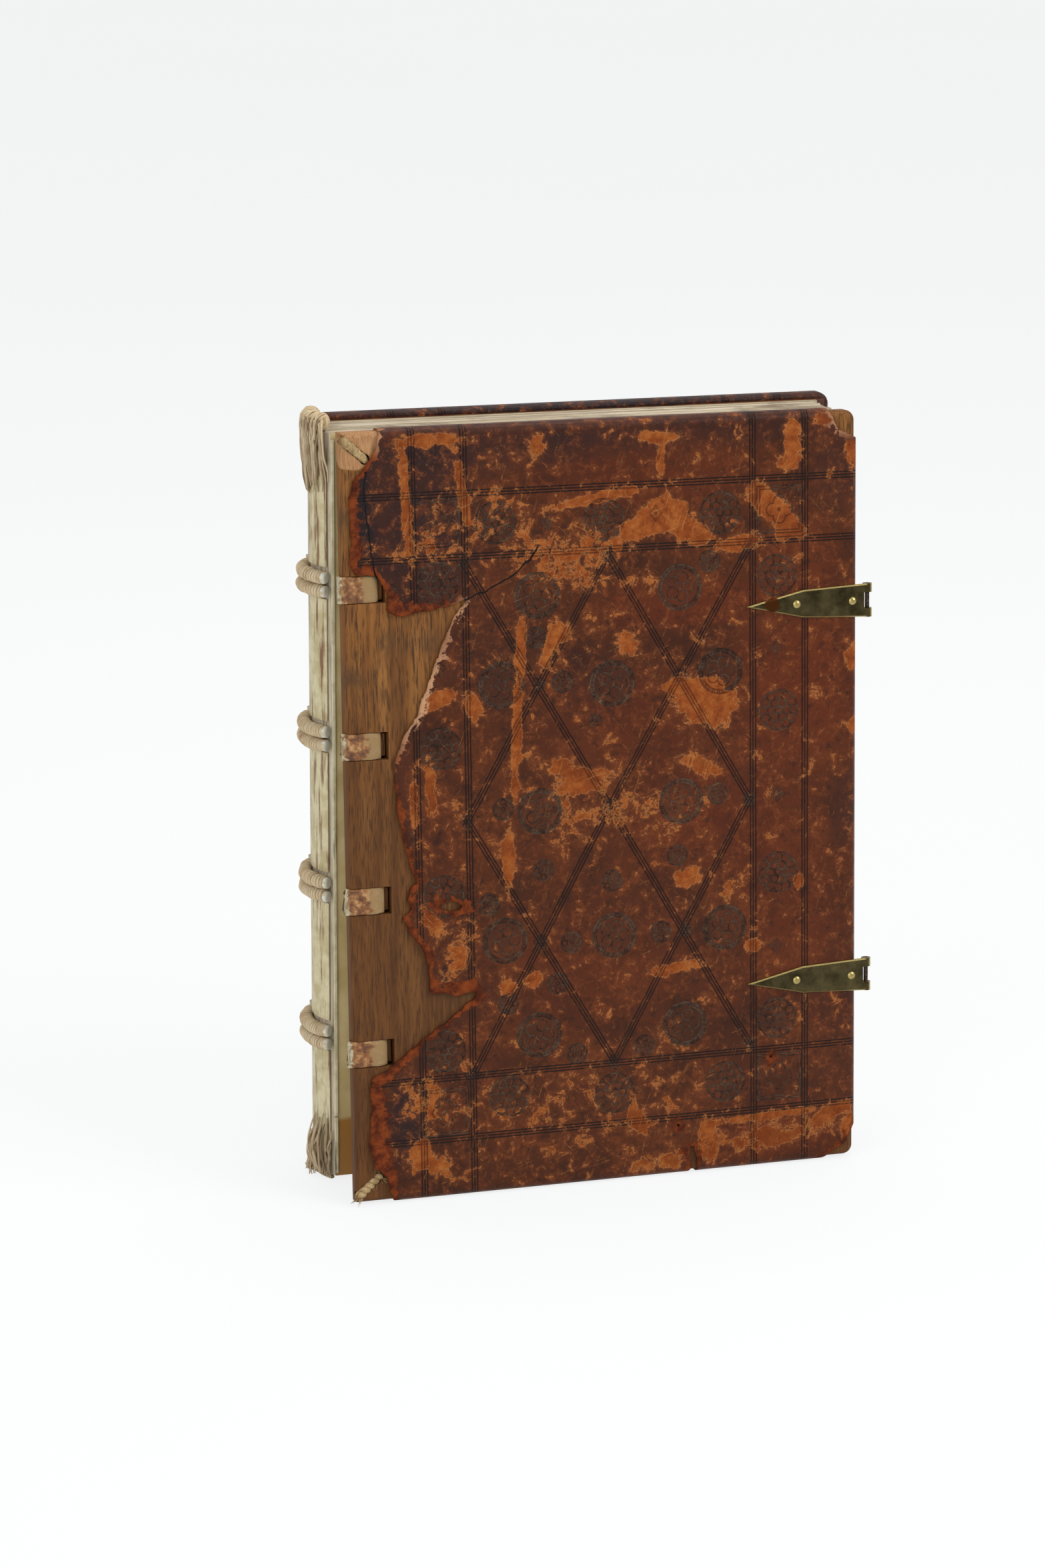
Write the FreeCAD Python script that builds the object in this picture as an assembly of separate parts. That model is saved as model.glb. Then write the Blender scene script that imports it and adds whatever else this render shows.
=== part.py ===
import FreeCAD, Part
import math
import os

# A large wooden-board book of the fifteenth century, standing on its tail with its spine at -X.
# The front board has broken off its thongs and leans back against the leaves.
# The back board still hangs on its thongs and opens about an upright axis at the joint.
# Millimetres and degrees. The row frame has +Z up, the front at -Y and the floor at z = 0.

# Boards and their leather
board_height = 315.0
board_width = 216.0
wood_thickness = 7.6
leather_thickness = 0.9
wood_outer_round = 2.4
wood_inner_round = 1.2
corner_round = 4.0
turn_in_width = 19.0
pastedown_thickness = 0.25
pastedown_clearance = 0.3
back_leather_start = 1.6
back_board_setback = 1.5

# Leaves
leaves_thickness = 26.4
flyleaf_thickness = 0.3
head_square = 2.2
tail_square = 2.4
fore_edge_square = 4.6
gathering_count = 12
gathering_step = 0.45
fold_bulge = 0.5
fore_edge_hollow = 2.0
cover_gap = 0.3

# Rounded spine, sewn on four split thongs
spine_radius = 20.0
shoulder_overhang = 1.4
thong_count = 4
strand_radius = 2.3
wrap_thickness = 0.45
strand_gap = 0.1
strand_reach_deg = 40.0
wrap_reach_deg = 37.0
strand_tail_length = 1.6
lining_thickness = 0.4
lining_reach_deg = 36.0
lining_margin = 1.0
lining_clearance = 0.05
lining_end_square = 7.0

# Endbands
head_band_core_radius = 2.2
head_band_thread_thickness = 1.4
head_band_reach_deg = 34.0
head_band_inset = 0.7
head_bundle_length = 30.0
head_bundle_swell = 1.9
head_bundle_reach_deg = 27.0
tail_band_core_radius = 0.65
tail_band_thread_thickness = 0.45
tail_band_clearance = 0.05
tail_bundle_length = 23.0
tail_bundle_swell = 1.1
tail_bundle_start_deg = 4.0

# Vellum guards folded round the first gathering, standing in the open front joint
guard_width = 1.5
guard_thickness = 0.9
guard_fold_round = 0.4
guard_board_clearance = 0.15
guard_split_height = 28.0
guard_split_gap = 0.8
guard_end_square = 1.5

# Lacing of a thong into a board: a channel from the spine edge and a slot through the wood
lacing_height = 11.0
lacing_depth = 4.0
lacing_proud = 0.65
lacing_length = 15.0
lacing_thickness = 3.0
lacing_clearance = 0.1
lacing_ramp = 1.5
lacing_bend = 0.9
stub_overhang = 1.2
stub_shoulder = 2.5
stub_end_slope = 2.4
stub_end_swell = 1.5
stub_split_radius = 0.35
stub_split_length = 3.0
slot_spare = 2.2
wedge_depth = 4.6
wedge_height = 9.0
wedge_taper = 0.7

# Back joint
joint_reach = 3.5
joint_depth = 5.4
knuckle_radius = 2.3
joint_swing_clearance = 1.7

# Endband slips laced across the corners of the boards
slip_radius = 1.8
slip_clearance = 0.15
slip_run = 10.0
slip_rise = 8.5
slip_corner_height = 3.0
slip_hole_radius = 2.2
slip_groove_lead = 2.0

# Catch plates riveted over the fore-edge of the front board
plate_thickness = 1.2
plate_edge_bevel = 0.5
plate_tip_inset = 48.4
plate_shoulder_inset = 24.0
plate_overhang = 4.4
plate_shoulder_height = 11.2
plate_end_height = 13.8
upper_plate_height = 236.3
lower_plate_height = 78.8
knuckle_outer_radius = 1.9
knuckle_height = 3.6
bar_radius = 0.9
bar_clearance = 0.05
rivet_head_radius = 1.6
rivet_head_height = 0.7
rivet_shank_radius = 0.9
rivet_shank_length = 7.0
rivet_clearance = 0.05
rivet_inset = 2.8
rivet_outer_inset = 2.6

# How the front board leans
lean_deg = 4.0
lean_clearance = 0.1

# Damage to the front leather, as (from the spine edge, height) pairs on a board of the height given here.
# The torn edge runs from tail to head, and what is left lies on its fore-edge side.
torn_board_height = 315.0
torn_edge = [
    (15.6, -2.0), (15.6, 0.8), (14.0, 4.6), (13.0, 10.6), (8.0, 15.6), (5.8, 24.0), (7.0, 38.6),
    (6.4, 46.6), (7.0, 52.2), (14.0, 56.0), (20.0, 60.6), (31.0, 68.6), (40.0, 74.6), (50.0, 82.2),
    (52.4, 84.0), (50.0, 85.2), (42.0, 85.0), (32.4, 86.6), (32.4, 97.6), (29.0, 105.6), (24.0, 112.6),
    (21.6, 119.2), (25.6, 121.6), (24.0, 125.5), (25.0, 130.5), (28.0, 132.5), (25.0, 138.5),
    (23.0, 148.5), (21.0, 158.9), (19.4, 171.5), (19.0, 179.0), (21.0, 187.0), (24.0, 193.0),
    (29.0, 200.0), (33.0, 211.0), (37.0, 221.0), (41.0, 231.0), (45.0, 239.0), (50.0, 246.0),
    (41.0, 243.4), (31.0, 242.0), (21.0, 240.6), (17.0, 243.0), (18.0, 250.0), (14.4, 256.0),
    (13.4, 257.6), (8.0, 258.0), (5.0, 258.0), (3.0, 261.0), (3.6, 275.0), (3.0, 288.0), (5.0, 295.0),
    (8.0, 298.0), (11.6, 303.4), (14.6, 307.0), (15.4, 314.6), (15.4, 317.0),
]
head_corner_wear = [(14.0, -2.0), (12.0, 2.4), (9.4, 7.6), (3.0, 11.4), (-2.0, 14.0), (-2.0, -2.0)]
tail_corner_wear = [(20.0, -2.0), (11.0, 3.4), (5.0, 7.0), (1.6, 13.0), (-2.0, 16.0), (-2.0, -2.0)]
tail_notch = [(142.0, -2.0), (142.6, 5.0), (142.0, 12.0), (144.4, 12.6), (145.6, 6.0), (146.0, -2.0)]
moth_hole_centre = (41.5, 121.6)
moth_hole_half_length = 4.4
moth_hole_half_height = 1.9
worm_holes = [(137.2, 21.2, 1.2), (178.0, 47.0, 1.0)]
worm_hole_depth = 3.0

# How far a cutter runs past what it cuts
cut_margin = 1.0

# Sizes that follow from the ones above
cover_thickness = wood_thickness + 2.0 * leather_thickness
text_thickness = leaves_thickness + 2.0 * flyleaf_thickness
text_height = board_height - tail_square - head_square
fore_edge_x = board_width - fore_edge_square
head_z = tail_square + text_height
spine_y = text_thickness / 2.0
spine_x = math.sqrt(spine_radius ** 2 - spine_y ** 2) - shoulder_overhang
wrap_radius = strand_radius + wrap_thickness
strand_path_radius = spine_radius + wrap_radius
strand_pitch = wrap_radius + strand_gap / 2.0
thong_spacing = board_height / (thong_count + 1)
back_inner_y = text_thickness + cover_gap
back_outer_y = back_inner_y + cover_thickness
joint_x = back_board_setback - joint_reach
joint_y = back_outer_y - joint_depth
lean_sin = math.sin(math.radians(lean_deg))
lean_cos = math.cos(math.radians(lean_deg))
corner_cut_back = lean_cos + lean_sin - 1.0
cover_outer_round = wood_outer_round + leather_thickness
cover_inner_round = wood_inner_round + leather_thickness
lean_z = cover_thickness * lean_sin - cover_inner_round * corner_cut_back
lean_rise = (head_z - lean_z + cover_thickness * lean_sin) / lean_cos
lean_y = -lean_clearance - lean_rise * lean_sin - cover_thickness * lean_cos
head_band_radius = head_band_core_radius + head_band_thread_thickness
tail_band_radius = tail_band_core_radius + tail_band_thread_thickness

# The origin is at the middle of the overall box, on the floor
reach_left = spine_x - strand_path_radius - wrap_radius
reach_right = board_width + plate_overhang + knuckle_outer_radius
reach_front = lean_y + cover_outer_round * corner_cut_back
row_origin = FreeCAD.Vector((reach_left + reach_right) / 2.0, (reach_front + back_outer_y) / 2.0, 0.0)


def vec(x, y, z):
    """A point or a direction."""
    return FreeCAD.Vector(x, y, z)


def prism_along_z(outline, low, high):
    """A closed outline of (x, y) points, carried from one height to another."""
    points = [vec(x, y, low) for x, y in outline]
    face = Part.Face(Part.makePolygon(points + points[:1]))
    return face.extrude(vec(0, 0, high - low))


def prism_along_y(outline, low, high):
    """A closed outline of (x, z) points, carried from one depth to another."""
    points = [vec(x, low, z) for x, z in outline]
    face = Part.Face(Part.makePolygon(points + points[:1]))
    return face.extrude(vec(0, high - low, 0))


def turned_ring(outline, start_deg, end_deg):
    """A closed outline of (radius, z) points, turned about the spine's axis between two angles.

    An angle is 0 at the middle of the spine, and positive towards the front.
    """
    points = [vec(spine_x + radius, spine_y, z) for radius, z in outline]
    face = Part.Face(Part.makePolygon(points + points[:1]))
    return turn_round_spine(face, start_deg, end_deg)


def turned_tube(path_radius, tube_radius, start_deg, end_deg, z):
    """A round strand that follows the spine at one height between two angles."""
    circle = Part.makeCircle(tube_radius, vec(spine_x + path_radius, spine_y, z), vec(0, 1, 0))
    face = Part.Face(Part.Wire(circle))
    return turn_round_spine(face, start_deg, end_deg)


def turn_round_spine(face, start_deg, end_deg):
    """Turn a face about the spine's axis, from one angle of the spine to another."""
    axis_point = vec(spine_x, spine_y, 0)
    face.rotate(axis_point, vec(0, 0, 1), 180.0 + start_deg)
    return face.revolve(axis_point, vec(0, 0, 1), end_deg - start_deg)


def point_on_spine(path_radius, angle_deg):
    """Where a path of this radius is at an angle of the spine, in plan."""
    angle = math.radians(angle_deg)
    return (spine_x - path_radius * math.cos(angle), spine_y - path_radius * math.sin(angle))


def thong_height(index):
    """The height of a thong's middle on the spine and in the boards."""
    return thong_spacing * index


def rounded_panel(u_low, u_high, n_low, n_high, v_low, v_high, rounds):
    """A board-shaped panel with rounded corners, and rounded edges on its outer and inner faces.

    u runs from the spine edge, n from the outer face inwards, and v from the tail.
    """
    corner, outer, inner = rounds
    panel = Part.makeBox(u_high - u_low, n_high - n_low, v_high - v_low, vec(u_low, n_low, v_low))
    far_corners = [edge for edge in panel.Edges if runs_along_n(edge) and at_u(edge, u_high)]
    panel = panel.makeFillet(corner, far_corners)
    panel = panel.makeFillet(outer, [edge for edge in panel.Edges if lies_at_n(edge, n_low)])
    return panel.makeFillet(inner, [edge for edge in panel.Edges if lies_at_n(edge, n_high)])


def runs_along_n(edge):
    """Whether an edge is a straight one through the board's thickness."""
    box = edge.BoundBox
    return box.XLength < 1e-6 and box.ZLength < 1e-6


def at_u(edge, u):
    """Whether an edge lies at this distance from the spine edge."""
    return abs(edge.BoundBox.Center.x - u) < 1e-6


def lies_at_n(edge, n):
    """Whether an edge lies in the face at this depth."""
    box = edge.BoundBox
    return box.YLength < 1e-6 and abs(box.Center.y - n) < 1e-6


def lean_against_leaves(shape):
    """Set a piece of the front cover down where it leans, foot forward, on the leaves."""
    placed = shape.copy()
    placed.rotate(vec(0, 0, 0), vec(1, 0, 0), -lean_deg)
    placed.translate(vec(0, lean_y, lean_z))
    return placed


def hang_at_back(shape):
    """Mirror a piece of a cover to the back, outer face outwards, and set it at the back joint."""
    placed = shape.mirror(vec(0, 0, 0), vec(0, 1, 0))
    placed.translate(vec(back_board_setback, back_outer_y, 0))
    return placed


def wooden_panel():
    """The bare board before its channels are cut."""
    return rounded_panel(
        0.0, board_width - leather_thickness,
        leather_thickness, leather_thickness + wood_thickness,
        leather_thickness, board_height - leather_thickness,
        (corner_round, wood_outer_round, wood_inner_round))


def lacing_channel(middle):
    """What is cut from the wood for one thong: a ramped channel, and a slot through the board."""
    floor = leather_thickness + lacing_depth + lacing_clearance
    slot_start = lacing_length - lacing_thickness - lacing_clearance
    slot_end = lacing_length + slot_spare
    below = cover_thickness + cut_margin
    ramp = (joint_depth + knuckle_radius - lacing_depth) / (joint_reach + lacing_ramp)
    mouth = -joint_reach
    outline = [
        (mouth, -cut_margin), (slot_end, -cut_margin), (slot_end, below), (slot_start, below),
        (slot_start, floor),
        (lacing_ramp, floor), (mouth, floor + ramp * (lacing_ramp - mouth)),
    ]
    half = lacing_height / 2.0 + lacing_clearance
    return prism_along_z(outline, middle - half, middle + half)


def slip_axis(corner_v, direction):
    """The two ends of an endband slip that crosses a board's corner, up or down from the corner."""
    depth = leather_thickness + slip_clearance + slip_radius
    start = vec(0.0, depth, corner_v + direction * slip_corner_height)
    end = vec(slip_run, depth, corner_v + direction * (slip_corner_height + slip_rise))
    return start, end


def slip_channel(corner_v, direction):
    """The groove and the hole that a slip is laced through."""
    start, end = slip_axis(corner_v, direction)
    run = end.sub(start)
    radius = slip_radius + slip_clearance
    lead = vec(run.x, 0, run.z).normalize().multiply(slip_groove_lead)
    groove = Part.makeCylinder(radius, run.Length + slip_groove_lead, start.sub(lead), run)
    mouth = groove.copy()
    mouth.translate(vec(0, -radius, 0))
    hole_start = vec(end.x, -cut_margin, end.z)
    hole = Part.makeCylinder(slip_hole_radius, cover_thickness + 2.0 * cut_margin, hole_start, vec(0, 1, 0))
    return groove.fuse(mouth).fuse(hole)


def laced_slip(corner_v, direction):
    """The short end of an endband core, laid in its groove."""
    start, end = slip_axis(corner_v, direction)
    run = end.sub(start)
    return Part.makeCylinder(slip_radius, run.Length, start, run)


def laced_board(rivet_places):
    """A wooden board with its channels, slots, grooves and rivet holes."""
    cuts = [lacing_channel(thong_height(index)) for index in range(1, thong_count + 1)]
    cuts.append(slip_channel(board_height, -1.0))
    cuts.append(slip_channel(0.0, 1.0))
    radius = rivet_shank_radius + rivet_clearance
    depth = rivet_shank_length + rivet_clearance
    for u, v in rivet_places:
        cuts.append(Part.makeCylinder(radius, depth, vec(u, 0, v), vec(0, 1, 0)))
    return wooden_panel().cut(cuts)


def cover_wrapper():
    """Leather drawn over the outer face and the edges of a board, and turned in on its inner face."""
    outside = rounded_panel(
        -leather_thickness, board_width, 0.0, cover_thickness, 0.0, board_height,
        (corner_round + leather_thickness, cover_outer_round, cover_inner_round))
    reach = leather_thickness + cut_margin
    window_width = board_width - turn_in_width + reach
    window_height = board_height - 2.0 * turn_in_width
    window = Part.makeBox(
        window_width, reach, window_height, vec(-reach, cover_thickness - leather_thickness, turn_in_width))
    return outside.cut(wooden_panel()).cut(window)


def torn_outline():
    """The torn edge of the front leather, closed round the part that is left."""
    outline = [(u, in_proportion(v)) for u, v in torn_edge]
    past_head = board_height + 2.0 * cut_margin
    past_fore_edge = board_width + 2.0 * cut_margin
    outline += [(past_fore_edge, past_head), (past_fore_edge, -2.0 * cut_margin)]
    return outline


def in_proportion(v):
    """A height in the torn leather, kept in proportion to the board's height."""
    return v * board_height / torn_board_height


def front_leather(rivet_places):
    """The front cover's leather, torn, worn through at its corners and holed."""
    depth = cover_thickness + cut_margin
    sheet = cover_wrapper().common(prism_along_y(torn_outline(), -cut_margin, depth))
    head_corner = [(board_width - u, board_height - v) for u, v in head_corner_wear]
    tail_corner = [(board_width - u, v) for u, v in tail_corner_wear]
    cuts = [prism_along_y(head_corner, -cut_margin, depth), prism_along_y(tail_corner, -cut_margin, depth)]
    cuts.append(prism_along_y(tail_notch, -cut_margin, cover_thickness / 2.0))
    cuts.append(moth_hole())
    for u, v, radius in worm_holes:
        place = vec(u, -cut_margin, in_proportion(v))
        cuts.append(Part.makeCylinder(radius, worm_hole_depth, place, vec(0, 1, 0)))
    radius = rivet_shank_radius + rivet_clearance
    for u, v in rivet_places:
        cuts.append(Part.makeCylinder(radius, cover_thickness / 2.0, vec(u, -cut_margin, v), vec(0, 1, 0)))
    return sheet.cut(cuts)


def moth_hole():
    """A long hole eaten through the front leather."""
    u, v = moth_hole_centre
    centre = vec(u, -cut_margin, in_proportion(v))
    ellipse = Part.Ellipse(centre, moth_hole_half_length, moth_hole_half_height)
    ellipse.Axis = vec(0, 1, 0)
    face = Part.Face(Part.Wire(ellipse.toShape()))
    return face.extrude(vec(0, leather_thickness + 2.0 * cut_margin, 0))


def back_leather():
    """The back cover's leather, whole, and torn off plainly where it went over the spine."""
    reach = leather_thickness + cut_margin
    spine_strip = Part.makeBox(
        back_leather_start + reach, cover_thickness + 2.0 * cut_margin, board_height + 2.0 * cut_margin,
        vec(-reach, -cut_margin, -cut_margin))
    return cover_wrapper().cut(spine_strip)


def pastedown():
    """The sheet pasted on the inner face of a board, inside the turned-in leather."""
    start = back_leather_start
    width = board_width - turn_in_width - pastedown_clearance - start
    low = turn_in_width + pastedown_clearance
    return Part.makeBox(
        width, pastedown_thickness, board_height - 2.0 * low,
        vec(start, cover_thickness - leather_thickness, low))


def broken_thong(middle):
    """A thong's stub in the front board, with its broken end past the spine edge."""
    top = leather_thickness - lacing_proud
    floor = leather_thickness + lacing_depth
    covered = leather_thickness + lacing_clearance / 2.0
    inside = cover_thickness - leather_thickness
    inner = lacing_length - lacing_thickness
    outline = [
        (-stub_overhang, top + stub_end_slope), (0.0, top + lacing_bend), (stub_shoulder, top),
        (inner - lacing_bend, top), (inner + lacing_bend, covered), (lacing_length, covered + lacing_bend),
        (lacing_length, inside), (inner, inside), (inner, floor), (lacing_ramp, floor),
        (-stub_overhang, floor + stub_end_swell),
    ]
    half = lacing_height / 2.0
    stub = prism_along_z(outline, middle - half, middle + half)
    split_start = vec(-stub_overhang - stub_split_radius, top + stub_split_radius, middle)
    split = Part.makeCylinder(stub_split_radius, stub_split_length, split_start, vec(1, 0.2, 0))
    return stub.cut(split)


def whole_thong(middle):
    """A thong from the back joint into the back board, its round end at the joint's axis."""
    covered = leather_thickness + lacing_clearance / 2.0
    floor = leather_thickness + lacing_depth
    inside = cover_thickness - leather_thickness
    inner = lacing_length - lacing_thickness
    lean = math.atan2(joint_depth - floor / 2.0, joint_reach + lacing_ramp)
    side_u = knuckle_radius * math.sin(lean)
    side_n = knuckle_radius * math.cos(lean)
    outline = [
        (-joint_reach - side_u, joint_depth - side_n), (lacing_ramp, covered),
        (lacing_length - lacing_bend, covered), (lacing_length, covered + lacing_bend),
        (lacing_length, inside), (inner, inside), (inner, floor), (lacing_ramp, floor),
        (-joint_reach + side_u, joint_depth + side_n),
    ]
    half = lacing_height / 2.0
    arm = prism_along_z(outline, middle - half, middle + half)
    knuckle = Part.makeCylinder(knuckle_radius, lacing_height, vec(-joint_reach, joint_depth, middle - half))
    return arm.fuse(knuckle).removeSplitter()


def lacing_wedge(middle):
    """The wooden wedge driven into a slot from inside to hold the thong."""
    near = lacing_length + lacing_clearance / 2.0
    far = lacing_length + slot_spare - lacing_clearance / 2.0
    inside = cover_thickness - leather_thickness
    tip = inside - wedge_depth
    outline = [(near, inside), (far, inside), (far - wedge_taper, tip), (near, tip)]
    return prism_along_z(outline, middle - wedge_height / 2.0, middle + wedge_height / 2.0)


def leaves():
    """The sewn leaves as one solid: gatherings folded at the spine, cut unevenly at head and fore-edge."""
    step = leaves_thickness / gathering_count
    blocks = []
    for index in range(gathering_count):
        low = flyleaf_thickness + index * step
        blocks.append(gathering(low, low + step, index))
    return blocks[0].multiFuse(blocks[1:]).removeSplitter()


def gathering(low, high, index):
    """One gathering: a slab with a round fold at the spine, ending at its own height and width."""
    near = spine_edge_x(low)
    far = spine_edge_x(high)
    middle = (low + high) / 2.0
    fold = spine_edge_x(middle) - fold_bulge / 2.0
    end_near = leaf_edge_x(low, index)
    end_far = leaf_edge_x(high, index)
    corners = [vec(near, low, 0), vec(end_near, low, 0), vec(end_far, high, 0), vec(far, high, 0)]
    edges = [Part.makeLine(corners[0], corners[1]), Part.makeLine(corners[1], corners[2])]
    edges.append(Part.makeLine(corners[2], corners[3]))
    edges.append(Part.Arc(corners[3], vec(fold, middle, 0), corners[0]).toShape())
    face = Part.Face(Part.Wire(edges))
    drop = gathering_step * (0.5 + 0.5 * math.sin(2.4 * index))
    face.translate(vec(0, 0, tail_square))
    return face.extrude(vec(0, 0, text_height - drop))


def spine_edge_x(y):
    """Where the leaves' folds lie at this depth, on the arc of the rounded spine."""
    inner_radius = spine_radius - fold_bulge / 2.0
    inside = inner_radius ** 2 - (y - spine_y) ** 2
    return spine_x - math.sqrt(inside)


def leaf_edge_x(y, index):
    """Where the leaves end at this depth: slightly hollow, and a little uneven."""
    part = (y - spine_y) / spine_y
    uneven = gathering_step * (0.5 + 0.5 * math.sin(1.7 * index + 1.0))
    return fore_edge_x - fore_edge_hollow * (1.0 - part ** 2) - uneven


def flyleaf(low):
    """A vellum flyleaf at the front or the back of the leaves."""
    start = -shoulder_overhang
    return Part.makeBox(
        fore_edge_x - start, flyleaf_thickness, text_height - gathering_step, vec(start, low, tail_square))


def joint_guard(low, high):
    """A strip of folded vellum that stands up in the open joint beside the first leaf."""
    start = -guard_board_clearance - guard_width
    strip = Part.makeBox(guard_width, guard_thickness, high - low, vec(start, -guard_thickness, low))
    outer = [edge for edge in strip.Edges if stands_outside(edge)]
    return strip.makeFillet(guard_fold_round, outer)


def stands_outside(edge):
    """Whether an upright edge of a guard faces out of the joint."""
    box = edge.BoundBox
    return box.XLength < 1e-6 and box.YLength < 1e-6 and box.Center.y < -guard_thickness / 2.0


def strand_heights(index):
    """The heights of the two strands that a thong is split into."""
    middle = thong_height(index)
    return (middle - strand_pitch, middle + strand_pitch)


def thong_on_spine(index):
    """A split thong round the spine: torn at the front joint, flexing at the back joint."""
    strands = [spine_strand(z) for z in strand_heights(index)]
    return Part.makeCompound(strands)


def spine_strand(z):
    """One strand of a split thong, from its torn end to just short of the back joint."""
    bend = turned_tube(strand_path_radius, strand_radius, -strand_reach_deg, strand_reach_deg, z)
    x, y = point_on_spine(strand_path_radius, -strand_reach_deg)
    angle = math.radians(strand_reach_deg)
    onwards = vec(math.sin(angle), math.cos(angle), 0)
    tail = Part.makeCylinder(strand_radius, strand_tail_length, vec(x, y, z), onwards)
    swing_start = vec(joint_x, joint_y, z - 2.0 * strand_radius)
    swing = Part.makeCylinder(knuckle_radius + joint_swing_clearance, 4.0 * strand_radius, swing_start)
    return bend.fuse(tail).cut(swing).removeSplitter()


def sewing_wrap(index):
    """The sewing thread packed round each strand of a thong."""
    sleeves = []
    for z in strand_heights(index):
        sleeve = turned_tube(strand_path_radius, wrap_radius, -wrap_reach_deg, wrap_reach_deg, z)
        core = turned_tube(strand_path_radius, strand_radius, -strand_reach_deg, strand_reach_deg, z)
        sleeves.append(sleeve.cut(core))
    return Part.makeCompound(sleeves)


def spine_lining(index):
    """The parchment pasted across one panel of the spine, between two thongs."""
    margin = 2.0 * wrap_radius + lining_margin
    low = thong_height(index - 1) + margin
    high = thong_height(index) - margin
    if index == 1:
        low = tail_square + lining_end_square
    if index == thong_count + 1:
        high = head_z - lining_end_square
    near = spine_radius + lining_clearance
    far = near + lining_thickness
    outline = [(near, low), (far, low), (far, high), (near, high)]
    return turned_ring(outline, -lining_reach_deg, lining_reach_deg)


def head_band_height():
    """The height of the head endband's core, which rests on the leaves."""
    return head_z + head_band_radius


def head_band_core():
    """The cord inside the head endband, torn at both joints."""
    path = spine_radius - head_band_inset
    reach = head_band_reach_deg
    return turned_tube(path, head_band_core_radius, -reach, reach, head_band_height())


def head_band_threads():
    """Thread wound over the head endband's core, and the bundle of tie-downs on the spine below it."""
    path = spine_radius - head_band_inset
    z = head_band_height()
    roll = turned_tube(path, head_band_radius, -head_band_reach_deg, head_band_reach_deg, z)
    top = z - head_band_core_radius
    near = spine_radius + 2.0 * lining_clearance + lining_thickness
    low = head_z - head_bundle_length
    fullest = near + head_bundle_swell
    outline = [
        (near, low), (near + head_bundle_swell / 3.0, low + head_bundle_length / 10.0),
        (fullest, head_z - head_bundle_length / 2.0), (fullest, head_z - 2.0 * head_bundle_swell),
        (near + head_bundle_swell / 2.0, top), (near, top),
    ]
    bundle = turned_ring(outline, -head_bundle_reach_deg, head_bundle_reach_deg)
    return roll.fuse(bundle).cut(head_band_core())


def tail_band_height():
    """The height of what is left of the tail endband, crushed between the leaves and the floor."""
    return tail_square - tail_band_radius - tail_band_clearance


def tail_band_core():
    """What is left of the tail endband's core."""
    path = spine_radius - tail_band_radius
    return turned_tube(path, tail_band_core_radius, -wrap_reach_deg, wrap_reach_deg, tail_band_height())


def tail_band_threads():
    """Thread round the tail endband's core, and the loose tie-downs on the spine above it."""
    z = tail_band_height()
    roll = turned_tube(spine_radius - tail_band_radius, tail_band_radius, -wrap_reach_deg, wrap_reach_deg, z)
    near = spine_radius + 2.0 * lining_clearance + lining_thickness
    inside = spine_radius - tail_band_radius
    high = tail_square + tail_bundle_length
    taper = tail_bundle_length / 5.0
    foot = tail_square - tail_band_clearance
    outline = [
        (inside, z), (near + tail_bundle_swell / 2.0, z), (near + tail_bundle_swell, tail_square + taper),
        (near + tail_bundle_swell / 2.0, high - taper), (near, high), (near, foot), (inside, foot),
    ]
    bundle = turned_ring(outline, tail_bundle_start_deg, wrap_reach_deg)
    return roll.fuse(bundle).cut(tail_band_core())


def rivet_places(plate_v):
    """Where the two rivets of a catch plate go through the cover."""
    inner = board_width - plate_shoulder_inset - rivet_inset
    outer = board_width - rivet_outer_inset
    return [(inner, plate_v), (outer, plate_v)]


def catch_plate(plate_v):
    """A brass catch plate: pointed, bevelled, and rolled into two knuckles past the fore-edge."""
    tip = board_width - plate_tip_inset
    shoulder = board_width - plate_shoulder_inset
    centre = board_width + plate_overhang
    waist = plate_shoulder_height / 2.0
    end = plate_end_height / 2.0
    outline = [
        (tip, plate_v), (shoulder, plate_v - waist), (centre, plate_v - end),
        (centre, plate_v + end), (shoulder, plate_v + waist),
    ]
    plate = prism_along_y(outline, -plate_thickness, 0.0)
    top = [edge for edge in plate.Edges if lies_at_n(edge, -plate_thickness) and not at_u(edge, centre)]
    plate = plate.makeChamfer(plate_edge_bevel, top)
    depth = knuckle_outer_radius - plate_thickness
    roll = Part.makeCylinder(knuckle_outer_radius, plate_end_height, vec(centre, depth, plate_v - end))
    gap_half = end - knuckle_height
    gap = Part.makeBox(
        3.0 * knuckle_outer_radius, 4.0 * knuckle_outer_radius, 2.0 * gap_half,
        vec(centre - knuckle_outer_radius, -2.0 * knuckle_outer_radius, plate_v - gap_half))
    bore_start = vec(centre, depth, plate_v - end - cut_margin)
    bore = Part.makeCylinder(bar_radius + bar_clearance, plate_end_height + 2.0 * cut_margin, bore_start)
    holes = [plate_hole(u, v) for u, v in rivet_places(plate_v)]
    return plate.fuse(roll).cut([gap, bore] + holes).removeSplitter()


def plate_hole(u, v):
    """The hole in a catch plate for one rivet."""
    start = vec(u, -2.0 * plate_thickness, v)
    return Part.makeCylinder(rivet_shank_radius + rivet_clearance, 3.0 * plate_thickness, start, vec(0, 1, 0))


def catch_bar(plate_v):
    """The bar between a plate's knuckles, which the lost clasp hooked over."""
    depth = knuckle_outer_radius - plate_thickness
    start = vec(board_width + plate_overhang, depth, plate_v - plate_end_height / 2.0)
    return Part.makeCylinder(bar_radius, plate_end_height, start)


def catch_rivets(plate_v):
    """The two domed rivets of a catch plate, as separate solids."""
    return Part.makeCompound([rivet(u, v) for u, v in rivet_places(plate_v)])


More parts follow.
